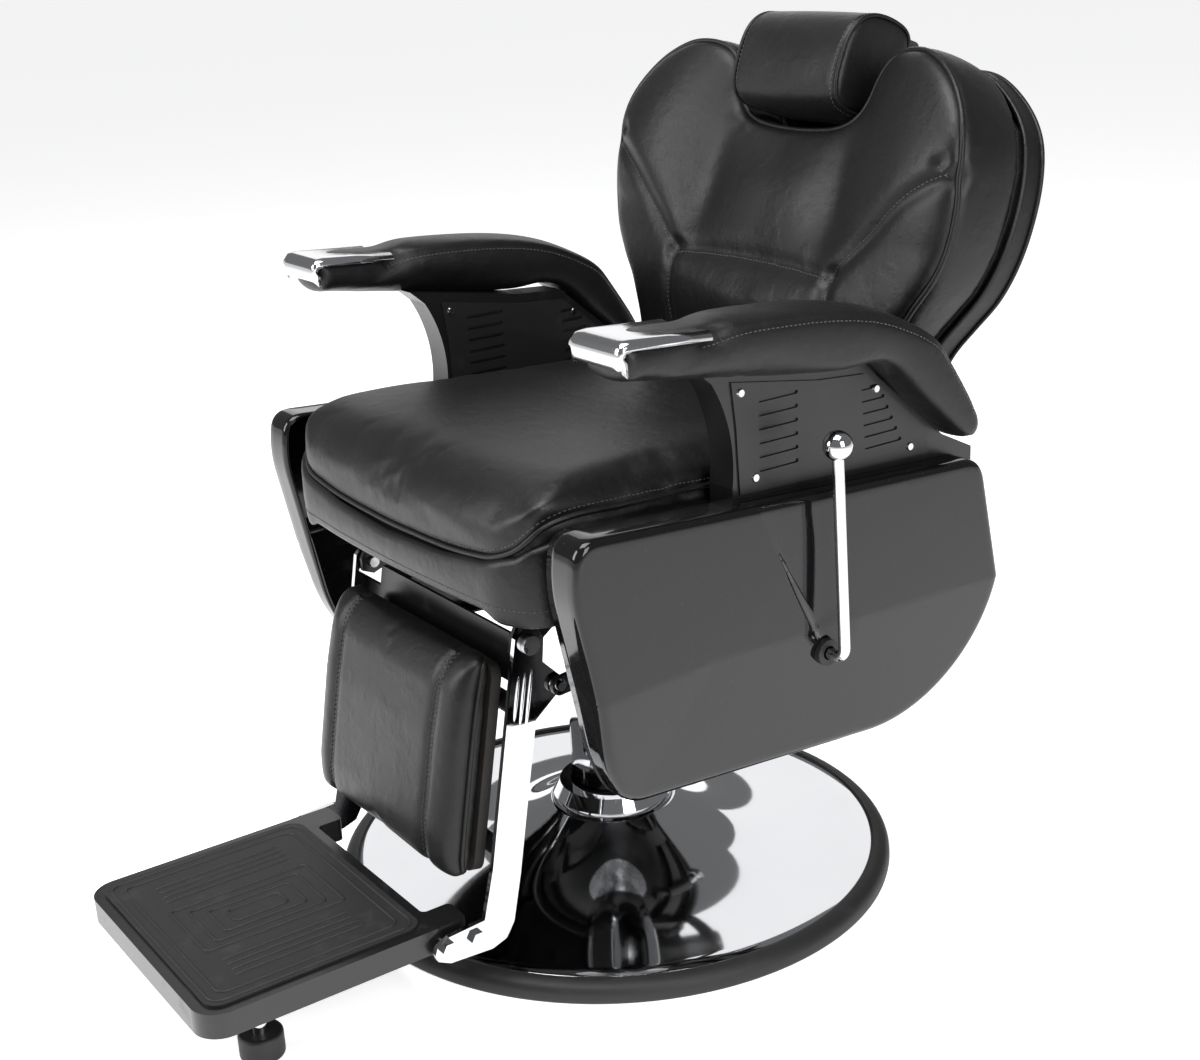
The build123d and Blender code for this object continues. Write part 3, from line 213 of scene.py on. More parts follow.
def makePaint(name, dark, light, rough):
    f = Finish(name, Specular_IOR_Level=0.5)
    peel = f.noise(900.0, 2.0)
    worn = f.ramp(f.noise(22.0, 5.0, 0.65), 0.55, 0.72)
    return f.shine(
        Base_Color=f.blendColours(worn, dark, light),
        Roughness=rough + 0.1 * worn + 0.06 * peel, Normal=f.bump(peel, 0.12, 0.0004))


def makeRubber(name):
    f = Finish(name, Specular_IOR_Level=0.4)
    pits = f.noise(1400.0, 2.0)
    scuff = f.ramp(f.noise(30.0, 5.0, 0.7), 0.52, 0.75)
    return f.shine(
        Base_Color=f.blendColours(scuff, (0.01, 0.01, 0.0105, 1), (0.02, 0.02, 0.02, 1)),
        Roughness=0.5 + 0.16 * scuff + 0.08 * pits, Normal=f.bump(pits, 0.2, 0.0004))


def makeSteel(name, colour, rough):
    f = Finish(name, Metallic=1.0)
    brushed = f.noise(1.0, 3.0, 0.6, f.stretch(1500.0, 60.0, 60.0))
    stain = f.ramp(f.noise(35.0, 4.0), 0.5, 0.7)
    return f.shine(
        Base_Color=f.blendColours(stain, colour, tuple(0.72 * c for c in colour[:3]) + (1.0,)),
        Roughness=rough + 0.12 * brushed + 0.1 * stain, Normal=f.bump(brushed, 0.1, 0.0003))


def makeIron(name):
    f = Finish(name, Specular_IOR_Level=0.4)
    cast = f.noise(260.0, 5.0, 0.7)
    chips = f.ramp(f.noise(70.0, 4.0), 0.62, 0.68)
    return f.shine(
        Base_Color=f.blendColours(chips, (0.03, 0.031, 0.034, 1), (0.09, 0.085, 0.08, 1)),
        Roughness=0.5 + 0.25 * cast, Normal=f.bump(cast, 0.5, 0.0012))


def makePly(name):
    f = Finish(name, Specular_IOR_Level=0.35)
    rings = f.noise(1.0, 4.0, 0.6, f.stretch(9.0, 160.0, 160.0))
    layers = f.add("ShaderNodeTexWave", {"bands_direction": "Z"}, {
        "Vector": f.place, "Scale": 110.0, "Distortion": 1.5}).wire("Fac")
    return f.shine(
        Base_Color=f.blendColours(0.6 * rings + 0.3 * layers,
                                  (0.012, 0.011, 0.0105, 1), (0.04, 0.036, 0.032, 1)),
        Roughness=0.55 + 0.2 * rings, Normal=f.bump(rings, 0.25, 0.0006))


def makeThread(name):
    f = Finish(name, Specular_IOR_Level=0.4, Sheen_Weight=0.25)
    twist = f.add("ShaderNodeTexWave", {"bands_direction": "DIAGONAL"}, {
        "Vector": f.place, "Scale": 700.0, "Distortion": 0.6}).wire("Fac")
    return f.shine(
        Base_Color=f.blendColours(twist, (0.012, 0.012, 0.013, 1), (0.05, 0.05, 0.052, 1)),
        Roughness=0.55 + 0.2 * twist, Normal=f.bump(twist, 0.5, 0.0003))


blackVinyl = makeVinyl("blackVinyl", (0.003, 0.003, 0.0032, 1), (0.008, 0.008, 0.0085, 1), 0.0011, 0.01)
pipingVinyl = makeVinyl("pipingVinyl", (0.003, 0.003, 0.0032, 1), (0.007, 0.007, 0.0075, 1), 0.0007, 0.01)
chrome = makeChrome("chrome", (0.62, 0.625, 0.64, 1.0), 0.03)
polishedCap = makeChrome("polishedCap", (0.64, 0.64, 0.65, 1.0), 0.11)
glossPanel = makeGlossPanel("glossPanel")
blackPaint = makePaint("blackPaint", (0.005, 0.005, 0.0052, 1), (0.011, 0.011, 0.0115, 1), 0.26)
ventPaint = makePaint("ventPaint", (0.007, 0.007, 0.0075, 1), (0.013, 0.013, 0.0135, 1), 0.36)
moulded = makeRubber("mouldedRubber")
plated = makeSteel("platedSteel", (0.62, 0.62, 0.63, 1.0), 0.2)
iron = makeIron("pumpIron")
ply = makePly("plywood")
thread = makeThread("thread")
slotFinish = {"chrome": chrome, "polished_metal": polishedCap, "black_vinyl": blackVinyl,
              "gloss_black_panel": glossPanel, "black_steel": blackPaint, "bright_steel": plated,
              "pump_iron": iron, "black_rubber": moulded, "plywood": ply}
slotOf = {s["node"]: s["material_slot"] for s in frame["record"]["subparts"]}
for nodeName, node in nodes.items():
    finish = ventPaint if nodeName.startswith("vent_plates") else slotFinish[slotOf[nodeName]]
    for materialSlot in node.material_slots:
        materialSlot.link = "OBJECT"
        materialSlot.material = finish
print("finishes ready")


# mesh helpers

def addPiece(name, verts, faces, material, body, smooth=True):
    mesh = bpy.data.meshes.new(name)
    mesh.from_pydata([tuple(v) for v in verts], [], faces)
    mesh.validate()
    work = bmesh.new()
    work.from_mesh(mesh)
    bmesh.ops.recalc_face_normals(work, faces=work.faces)
    work.to_mesh(mesh)
    work.free()
    mesh.polygons.foreach_set("use_smooth", [smooth] * len(mesh.polygons))
    piece = bpy.data.objects.new(name, mesh)
    bpy.context.scene.collection.objects.link(piece)
    piece.data.materials.append(material)
    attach(piece, body)
    return piece


def evenSteps(points, spacing, closed):
    pts = np.array(points, float)
    if closed:
        pts = np.vstack([pts, pts[:1]])
    lengths = np.concatenate([[0.0], np.cumsum(np.linalg.norm(np.diff(pts, axis=0), axis=1))])
    count = max(3, int(round(lengths[-1] / spacing)))
    at = np.linspace(0.0, lengths[-1], count + 1)
    if closed:
        at = at[:-1]
    return np.column_stack([np.interp(at, lengths, pts[:, k]) for k in range(pts.shape[1])])


def smoothLine(points, closed=False, fine=12):
    # a Catmull-Rom line through the points
    pts = [np.array(p, float) for p in points]
    count = len(pts)
    made = []
    for i in range(count if closed else count - 1):
        if closed:
            a, b, c, d = (pts[(i + k) % count] for k in (-1, 0, 1, 2))
        else:
            b, c = pts[i], pts[i + 1]
            a = pts[i - 1] if i else 2 * b - c
            d = pts[i + 2] if i + 2 < count else 2 * c - b
        for t in np.arange(fine) / fine:
            made.append(0.5 * (2 * b + (c - a) * t + (2 * a - 5 * b + 4 * c - d) * t * t
                               + (3 * b - a - 3 * c + d) * t ** 3))
    if not closed:
        made.append(pts[-1])
    return np.array(made)


def roundCorners(points, radii, fine=8):
    # a closed ring whose corners are rounded
    count = len(points)
    made = []
    for i in range(count):
        a, b, c = (np.array(points[(i + k) % count], float) for k in (-1, 0, 1))
        r = radii[i]
        if r <= 0:
            made.append(b)
            continue
        ta, tc = (a - b) / np.linalg.norm(a - b), (c - b) / np.linalg.norm(c - b)
        for t in np.linspace(0, 1, fine):
            made.append((1 - t) ** 2 * (b + ta * r) + 2 * t * (1 - t) * b + t * t * (b + tc * r))
    return np.array(made)


def ringDistance(points, ring):
    # how far inside a closed ring each point lies
    p = np.asarray(points, float)
    best = np.full(len(p), 1e9)
    inside = np.zeros(len(p), bool)
    for a, b in zip(ring, np.roll(ring, -1, axis=0)):
        ab = b - a
        t = np.clip(((p - a) @ ab) / (ab @ ab + 1e-18), 0, 1)
        best = np.minimum(best, np.linalg.norm(p - a - t[:, None] * ab, axis=1))
        crosses = (a[1] > p[:, 1]) != (b[1] > p[:, 1])
        at = a[0] + (p[:, 1] - a[1]) / (b[1] - a[1] + 1e-18) * ab[0]
        inside ^= crosses & (p[:, 0] < at)
    return np.where(inside, best, -best)


def ringNormals(ring):
    # outward normals of a ring
    along = np.roll(ring, -1, axis=0) - np.roll(ring, 1, axis=0)
    out = np.column_stack([along[:, 1], -along[:, 0]])
    out /= np.linalg.norm(out, axis=1)[:, None] + 1e-12
    area = np.sum(ring[:, 0] * np.roll(ring[:, 1], -1) - ring[:, 1] * np.roll(ring[:, 0], -1))
    return out if area > 0 else -out


def lineDistance(points, a, b):
    # how far each point lies from the stretch between two points
    along = b - a
    t = np.clip(((points - a) @ along) / (along @ along), 0, 1)
    return np.linalg.norm(points - a - t[:, None] * along, axis=1)


def fillRing(ring, spacing, insets, creases=()):
    # triangles over a ring: close rows near its edge, even points inside, sharp creases kept
    out = ringNormals(ring)
    rows = [ring]
    for inset in insets:
        row = ring - out * inset
        keep = ringDistance(row, ring) > 0.93 * inset
        rows.append(row[keep])
    low, high = ring.min(0), ring.max(0)
    xs = np.arange(low[0], high[0], spacing)
    ys = np.arange(low[1], high[1], spacing * 0.87)
    grid = np.array([(x + (spacing / 2 if k % 2 else 0), y) for k, y in enumerate(ys) for x in xs])
    rows.append(grid[ringDistance(grid, ring) > insets[-1] + 0.6 * spacing])
    inner = np.vstack(rows[1:])
    strips = []
    for a, b in creases:
        a, b = np.array(a, float), np.array(b, float)
        inner = inner[lineDistance(inner, a, b) > 0.35 * spacing]
        strips.append(np.linspace(a, b, max(2, int(np.linalg.norm(b - a) / (0.6 * spacing)))))
    allPoints = np.vstack([ring, inner] + strips)
    edgesKept, start = [], len(ring) + len(inner)
    for strip in strips:
        edgesKept += [(start + i, start + i + 1) for i in range(len(strip) - 1)]
        start += len(strip)
    made = delaunay_2d_cdt([Vector(p) for p in allPoints], edgesKept, [list(range(len(ring)))], 1, 1e-7)
    points = np.array([tuple(p) for p in made[0]])
    source = {o: i for i, origs in enumerate(made[3]) for o in origs}
    border = [source[i] for i in range(len(ring))]
    return points, [list(t) for t in made[2]], border


def roundedEdge(depth, across, down):
    # how far a padded edge falls at a distance from the border
    t = np.clip(1 - depth / across, 0, 1)
    return down * (1 - np.sqrt(np.maximum(0.0, 1 - t ** 2.2)))


def reliefSolid(name, ring, spacing, insets, front, rear, place, wallRows, bulge, material, body):
    # a closed form: a front and a rear skin over one ring, joined by a wall that may bulge
    points, tris, border = fillRing(ring, spacing, insets)
    depth = np.maximum(ringDistance(points, ring), 0)
    depth[border] = 0
    top, bottom = front(points, depth), rear(points, depth)
    out = ringNormals(ring)
    verts = [place(p, h) for p, h in zip(points, top)]
    start = len(verts)
    verts += [place(p, h) for p, h in zip(points, bottom)]
    faces = [list(t) for t in tris] + [[start + i for i in reversed(t)] for t in tris]
    rows = [border]
    for k in range(1, wallRows):
        t = k / wallRows
        row = []
        for j, i in enumerate(border):
            row.append(len(verts))
            verts.append(place(ring[j] + out[j] * bulge * 4 * t * (1 - t), top[i] * (1 - t) + bottom[i] * t))
        rows.append(row)
    rows.append([start + i for i in border])
    count = len(border)
    for upper, lower in zip(rows, rows[1:]):
        for j in range(count):
            k = (j + 1) % count
            faces.append([upper[j], upper[k], lower[k], lower[j]])
    return addPiece(name, verts, faces, material, body)


def freeze(piece):
    # the piece keeps the mesh that its modifiers make
    graph = bpy.context.evaluated_depsgraph_get()
    mesh = bpy.data.meshes.new_from_object(piece.evaluated_get(graph))
    piece.modifiers.clear()
    piece.data = mesh
    mesh.polygons.foreach_set("use_smooth", [True] * len(mesh.polygons))


def coordsOf(piece):
    flat = np.zeros(len(piece.data.vertices) * 3)
    piece.data.vertices.foreach_get("co", flat)
    return flat.reshape(-1, 3)


def setCoords(piece, coords):
    piece.data.vertices.foreach_set("co", np.asarray(coords, float).ravel())
    piece.data.update()


def normalsOf(piece):
    flat = np.zeros(len(piece.data.vertices) * 3)
    piece.data.vertices.foreach_get("normal", flat)
    return flat.reshape(-1, 3)


def settlePad(piece, voxel, cap, pressure, shrink):
    # the cover is blown up by its filling, and the swelling is held to a cap
    remesh = piece.modifiers.new("even", "REMESH")
    remesh.mode = "VOXEL"
    remesh.voxel_size = voxel
    freeze(piece)
    relax = piece.modifiers.new("relax", "SMOOTH")
    relax.factor = 0.5
    relax.iterations = 4
    freeze(piece)
    target = coordsOf(piece)
    setCoords(piece, target - normalsOf(piece) * shrink)
    started = coordsOf(piece)
    cloth = piece.modifiers.new("cover", "CLOTH")
    cloth.settings.quality = 5
    cloth.settings.mass = 0.4
    cloth.settings.tension_stiffness = 22
    cloth.settings.compression_stiffness = 22
    cloth.settings.shear_stiffness = 12
    cloth.settings.bending_stiffness = 6
    cloth.settings.use_pressure = True
    cloth.settings.uniform_pressure_force = pressure
    cloth.settings.effector_weights.gravity = 0.0
    cloth.collision_settings.use_collision = False
    cloth.point_cache.frame_start = 1
    cloth.point_cache.frame_end = 20
    for step in range(1, 21):
        bpy.context.scene.frame_set(step)
    freeze(piece)
    moved = coordsOf(piece) - started
    size = np.linalg.norm(moved, axis=1)[:, None]
    setCoords(piece, started + moved * np.minimum(1.0, cap / np.maximum(size, 1e-9)))
    bpy.context.scene.frame_set(1)
    ease = piece.modifiers.new("ease", "SMOOTH")
    ease.factor = 0.5
    ease.iterations = 5
    freeze(piece)
    divide = piece.modifiers.new("finer", "SUBSURF")
    divide.levels = divide.render_levels = 1
    freeze(piece)
    piece.data.materials.clear()
    print("settled", piece.name, len(piece.data.vertices))


def pressSeam(piece, path, depth, width):
    # vertices near a seam are drawn in
    tree = KDTree(len(path))
    for i, p in enumerate(path):
        tree.insert(Vector(p), i)
    tree.balance()
    coords, normals = coordsOf(piece), normalsOf(piece)
    for i, p in enumerate(coords):
        gap = tree.find(Vector(p))[2]
        if gap < 3 * width:
            coords[i] = p - normals[i] * depth * math.exp(-(gap / width) ** 2)
    setCoords(piece, coords)


def skinOf(piece):
    verts = [v.co.copy() for v in piece.data.vertices]
    return BVHTree.FromPolygons(verts, [list(p.vertices) for p in piece.data.polygons])


def ontoSkin(skin, points, lift=0.0, along=None):
    # points moved onto a skin, by the nearest way or along a direction
    made = []
    for p in points:
        start = Vector(p)
        if along is None:
            spot, normal = skin.find_nearest(start)[:2]
        else:
            spot, normal = skin.ray_cast(start - Vector(along) * 0.3, Vector(along))[:2]
            if spot is None:
                spot, normal = skin.find_nearest(start)[:2]
        made.append(spot + normal * lift)
    return np.array([tuple(p) for p in made])


def relaxLine(points, times, closed=False):
    pts = np.array(points, float)
    for _ in range(times):
        if closed:
            pts = 0.5 * pts + 0.25 * (np.roll(pts, 1, axis=0) + np.roll(pts, -1, axis=0))
        else:
            pts[1:-1] = 0.5 * pts[1:-1] + 0.25 * (pts[:-2] + pts[2:])
    return pts


def addTube(name, points, radius, material, body, closed=False):
    # a round cord such as piping, made as a mesh along a line
    pts = evenSteps(points, max(radius * 1.2, 0.002), closed)
    count = len(pts)
    sides = 10
    ahead = np.roll(pts, -1, axis=0) - np.roll(pts, 1, axis=0)
    if not closed:
        ahead[0], ahead[-1] = pts[1] - pts[0], pts[-1] - pts[-2]
    ahead /= np.linalg.norm(ahead, axis=1)[:, None]
    across = np.cross(ahead[0], (0.31, 0.17, 0.93))
    verts, faces = [], []
    for i in range(count):
        across = across - ahead[i] * (across @ ahead[i])
        across /= np.linalg.norm(across)
        lift = np.cross(ahead[i], across)
        taper = 1.0 if closed else min(1.0, 0.35 + 0.65 * min(i, count - 1 - i) / 2)
        for k in range(sides):
            a = 2 * math.pi * k / sides
            verts.append(pts[i] + radius * taper * (math.cos(a) * across + math.sin(a) * lift))
    for i in range(count if closed else count - 1):
        j = (i + 1) % count
        for k in range(sides):
            n = (k + 1) % sides
            faces.append([i * sides + k, j * sides + k, j * sides + n, i * sides + n])
    if not closed:
        faces.append(list(range(sides)))
        faces.append([(count - 1) * sides + k for k in reversed(range(sides))])
    return addPiece(name, verts, faces, material, body)


def addStitches(name, path, skin, offset, body, length=0.0036, gap=0.0017, radius=0.00055):
    # a row of thread stitches that lie on a skin
    pts = evenSteps(path, length + gap, False)
    verts, faces = [], []
    for i in range(len(pts) - 1):
        a, b = Vector(pts[i]), Vector(pts[i + 1])
        ahead = (b - a).normalized()
        spot, normal = skin.find_nearest((a + b) / 2)[:2]
        side = ahead.cross(normal).normalized()
        middle = spot + side * offset
        spot, normal = skin.find_nearest(middle)[:2]
        base = len(verts)
        for share, size in ((-0.5, 0.5), (-0.3, 1.0), (0.3, 1.0), (0.5, 0.5)):
            for k in range(5):
                turnBy = math.tau * k / 5
                sink = -0.0004 if abs(share) == 0.5 else 0.0002
                high = sink + radius * size * math.sin(turnBy)
                wide = radius * size * math.cos(turnBy)
                verts.append(tuple(spot + ahead * length * share + normal * high + side * wide))
        for r in range(3):
            for k in range(5):
                n = (k + 1) % 5
                lowRow, highRow = base + r * 5, base + (r + 1) * 5
                faces.append([lowRow + k, highRow + k, highRow + n, lowRow + n])
        faces.append([base + k for k in range(5)])
        faces.append([base + 15 + k for k in reversed(range(5))])
    return addPiece(name, verts, faces, thread, body)


def lathe(name, profile, segments, material, body):
    # a turned piece about the column's axis, from a closed profile of (radius, height)
    verts, faces = [], []
    count = len(profile)
    for s in range(segments):
        a = math.tau * s / segments
        verts += [(r * math.cos(a), r * math.sin(a), z) for r, z in profile]
    for s in range(segments):
        n = (s + 1) % segments
        for k in range(count):
            m = (k + 1) % count
            faces.append([s * count + k, n * count + k, n * count + m, s * count + m])
    return addPiece(name, verts, faces, material, body)


def mirrored(points):
    return [(-x, *rest) for x, *rest in points]


# round base and column, turned smooth for their polish

base = {"outer": 325, "rim": 305, "rimHeight": 20, "flare": 285,
        "neck": 70, "neckHeight": 78, "power": 2.9, "wall": 2.2, "segments": 224}
radii = np.linspace(base["flare"], base["neck"], 46)
rise = (base["flare"] - radii) / (base["flare"] - base["neck"])
heights = base["rimHeight"] + (base["neckHeight"] - base["rimHeight"]) * rise ** base["power"]
over = [(base["rim"] - 0.4, base["rimHeight"] - 1.8), (base["rim"] - 0.8, base["rimHeight"] - 0.5),
        (base["rim"] - 2.0, base["rimHeight"])] + list(zip(radii, heights))
under = [(r, z - base["wall"]) for r, z in reversed(over[2:])]
lathe("baseDish", [(r * mm, z * mm) for r, z in over + under], base["segments"], chrome, "root")
ringProfile = [(-22, 1.2), (-20.5, 0), (-3, 0), (-0.6, 1.6), (0, 5), (-0.8, 12), (-4.5, 17.5), (-11, 20.6),
               (-17, 21.6), (-19, 21.2), (-19.6, 19.9), (-21.9, 18.2)]
ringFine = smoothLine(ringProfile, True, 4)
lathe("trimRing", [((base["outer"] + r) * mm, max(0.0, z) * mm) for r, z in ringFine], base["segments"],
      moulded, "root")
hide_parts("base_dish")
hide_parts("trim_ring")

column = {"radius": 47, "wall": 2.5, "edge": 1.5}
shroudLow, shroudHigh = (p.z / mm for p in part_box("column_shroud"))
r = column["radius"]
e = column["edge"]
shroudProfile = [(r - column["wall"], shroudLow), (r - 0.4, shroudLow), (r, shroudLow + 0.5),
                 (r, shroudHigh - e), (r - e * 0.4, shroudHigh - e * 0.3), (r - e, shroudHigh),
                 (24.0, shroudHigh), (24.0, shroudHigh - 5.5),
                 (r - column["wall"], shroudHigh - 5.5)]
lathe("columnShroud", [(a * mm, b * mm) for a, b in shroudProfile], 128, chrome, "lift")
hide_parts("column_shroud")
print("base and column turned")


# seat cushion, its front piping and the skirt under it

seatLow, seatHigh = (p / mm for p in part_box("seat_cushion"))
seat = {"half": seatHigh.x, "rear": seatHigh.y, "front": seatLow.y, "low": seatLow.z + 0.6,
        "crown": seatHigh.z - 3,
        "rearDrop": 18, "dish": 11, "sideAcross": 46, "sideDown": 31, "frontAcross": 92, "frontDown": 76,
        "spacing": 9, "cap": 5, "pressure": 4.0, "seamDepth": 2.6}


def seatRing():
    x, rear, front = seat["half"] - 1.5, seat["rear"] - 1.5, seat["front"] + 2
    corners = [(-x, rear), (x, rear), (x, -215), (x - 8, front + 28), (x - 44, front + 9), (110, front + 2.4),
               (0, front), (-110, front + 2.4), (44 - x, front + 9), (8 - x, front + 28), (-x, -215)]
    return evenSteps(roundCorners(corners, [26, 26, 14, 14, 16, 40, 40, 40, 16, 14, 14]), 6.0, True)


def seatTop(p, depth):
    x, y = p[:, 0], p[:, 1]
    along = np.clip((y + 150) / (seat["rear"] + 150), 0, 1)
    top = seat["crown"] - seat["rearDrop"] * along ** 1.4
    hollow = np.exp(-((x / 150) ** 2) - ((y - 60) / 120) ** 2)
    top = top - seat["dish"] * hollow + 3.0 * np.cos(x / 246 * 1.5)
    sideGap = seat["half"] - np.abs(x)
    frontGap = y - seat["front"] - 10 * np.clip((np.abs(x) - 120) / 100, 0, 1) ** 2
    fall = roundedEdge(np.maximum(sideGap, 0), seat["sideAcross"], seat["sideDown"])
    wave = roundedEdge(np.maximum(frontGap, 0), seat["frontAcross"], seat["frontDown"])
    back = roundedEdge(np.maximum(seat["rear"] - y, 0), 30, 22)
    corner = np.clip((np.abs(x) - 185) / 60, 0, 1) ** 1.6 * np.clip((-y - 170) / 90, 0, 1)
    return top - np.maximum(fall + back, wave * (1 - 0.42 * corner) + 0.35 * fall)


seatCushion = reliefSolid(
    "seatCushion", seatRing(), seat["spacing"], (1.2, 3.5, 7, 12, 19, 27), seatTop,
    lambda p, depth: np.full(len(p), seat["low"]) + roundedEdge(depth, 8, 5),
    lambda p, h: (p[0] * mm, p[1] * mm, h * mm), 7, 2.0, blackVinyl, "seat")
settlePad(seatCushion, 0.005, seat["cap"] * mm, seat["pressure"], 0.003)
seatCushion.data.materials.append(blackVinyl)
coords = coordsOf(seatCushion)
coords[:, 2] = np.maximum(coords[:, 2], seat["low"] * mm)
coords[:, 0] = np.clip(coords[:, 0], -(seat["half"] + 2.5) * mm, (seat["half"] + 2.5) * mm)
setCoords(seatCushion, coords)

frontLine = [(249, 196, 522), (250, 90, 523), (250, -48, 525), (250, -121, 528), (250, -191, 530),
             (249, -232, 522),
             (242, -252, 508), (222, -262, 495), (180, -266, 484), (110, -271, 476)]
frontLine = frontLine + [(0, -273, 472)] + mirrored(reversed(frontLine))
seatSkin = skinOf(seatCushion)
pipingPath = relaxLine(ontoSkin(seatSkin, evenSteps(smoothLine(frontLine), 5, False) * mm, 0.0), 12)
pressSeam(seatCushion, pipingPath, seat["seamDepth"] * mm, 0.007)
seatSkin = skinOf(seatCushion)
pipingPath = relaxLine(ontoSkin(seatSkin, pipingPath, 0.0016), 4)
addTube("seatPiping", pipingPath, 0.0031, pipingVinyl, "seat")
addStitches("seatStitches", pipingPath, seatSkin, 0.0072, "seat")
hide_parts("seat_cushion")
print("seat cushion sewn")


def sweptBand(name, path, section, material, body):
    # a closed band: section(i) gives the ring of points at step i of the path
    rows = [section(i) for i in range(len(path))]
    count = len(rows[0])
    verts = [v for row in rows for v in row]
    faces = []
    for i in range(len(rows) - 1):
        for k in range(count):
            n = (k + 1) % count
            faces.append([i * count + k, i * count + n, (i + 1) * count + n, (i + 1) * count + k])
    faces.append(list(range(count)))
    faces.append([(len(rows) - 1) * count + k for k in reversed(range(count))])
    return addPiece(name, verts, faces, material, body)


skirt = {"thick": 7.5, "sideLow": 421.5, "middleLow": 430.5, "rear": -168,
         "seamAcross": [0, 110, 180, 222, 242, 247], "seamHigh": [468, 472, 480, 491, 504, 518]}
around = seatRing()
around = around[around[:, 1] < skirt["rear"]]
around = around[np.argsort(np.arctan2(around[:, 0], -(around[:, 1] + 100)))]
around = np.vstack([[(-seat["half"] + 1.5, skirt["rear"])], around, [(seat["half"] - 1.5, skirt["rear"])]])
around = evenSteps(around, 6.0, False)
aheadAround = np.gradient(around, axis=0)
outAround = np.column_stack([aheadAround[:, 1], -aheadAround[:, 0]])
outAround /= np.linalg.norm(outAround, axis=1)[:, None]


def skirtSection(i):
    p, out = around[i], outAround[i]
    share = np.clip((205 - abs(p[0])) / 30, 0, 1)
    low = skirt["sideLow"] + (skirt["middleLow"] - skirt["sideLow"]) * share * share * (3 - 2 * share)
    high, thick = np.interp(abs(p[0]), skirt["seamAcross"], skirt["seamHigh"]), skirt["thick"]
    swell = 3.4
    ring = [(-3.0, high + 3), (1.5, high), (swell, high - 5), (swell + 0.4, (high + low) / 2),
            (swell - 1, low + 12), (0.8, low + 4), (-0.3, low + 1.6), (-2.0, low + 0.3),
            (-thick + 2, low + 0.3), (-thick + 0.2, low + 1.8),
            (-thick, low + 6), (-thick, high - 6), (-thick + 1, high)]
    return [((p[0] + out[0] * (o - 0.6)) * mm, (p[1] + out[1] * (o - 0.6)) * mm, z * mm) for o, z in ring]


seatSkirt = sweptBand("seatSkirt", around, skirtSection, blackVinyl, "seat")
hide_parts("seat_skirt")
skirtSkin = skinOf(seatSkirt)
hem = [((p[0] + o[0] * 2) * mm, (p[1] + o[1] * 2) * mm, 0.4405)
       for p, o in zip(around[2:-2], outAround[2:-2])]
addStitches("skirtStitches", ontoSkin(skirtSkin, hem, 0.0), skirtSkin, 0.0, "seat")
print("skirt sewn")


# arm pads and their polished caps

arm = {"top": [(-195, 700), (-186, 706.5), (-100, 700.6), (-60, 705.5), (10, 703.5), (76, 696.5),
               (130, 683.5),
               (179, 661.5), (205, 644.5), (222, 623.5), (258, 569.5), (268, 543), (262, 528)],
       "under": [(246, 529), (190, 577), (132, 627), (72, 631), (-20, 647), (-110, 661), (-166, 668),
                 (-190, 670)],
       "across": 17, "down": 15, "crown": 5, "cap": 5, "pressure": 3.5}
capBox = {"left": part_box("arm_cap_left"), "right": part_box("arm_cap_right")}


def armSide(p, depth):
    return 40 - roundedEdge(depth, arm["across"], arm["down"])


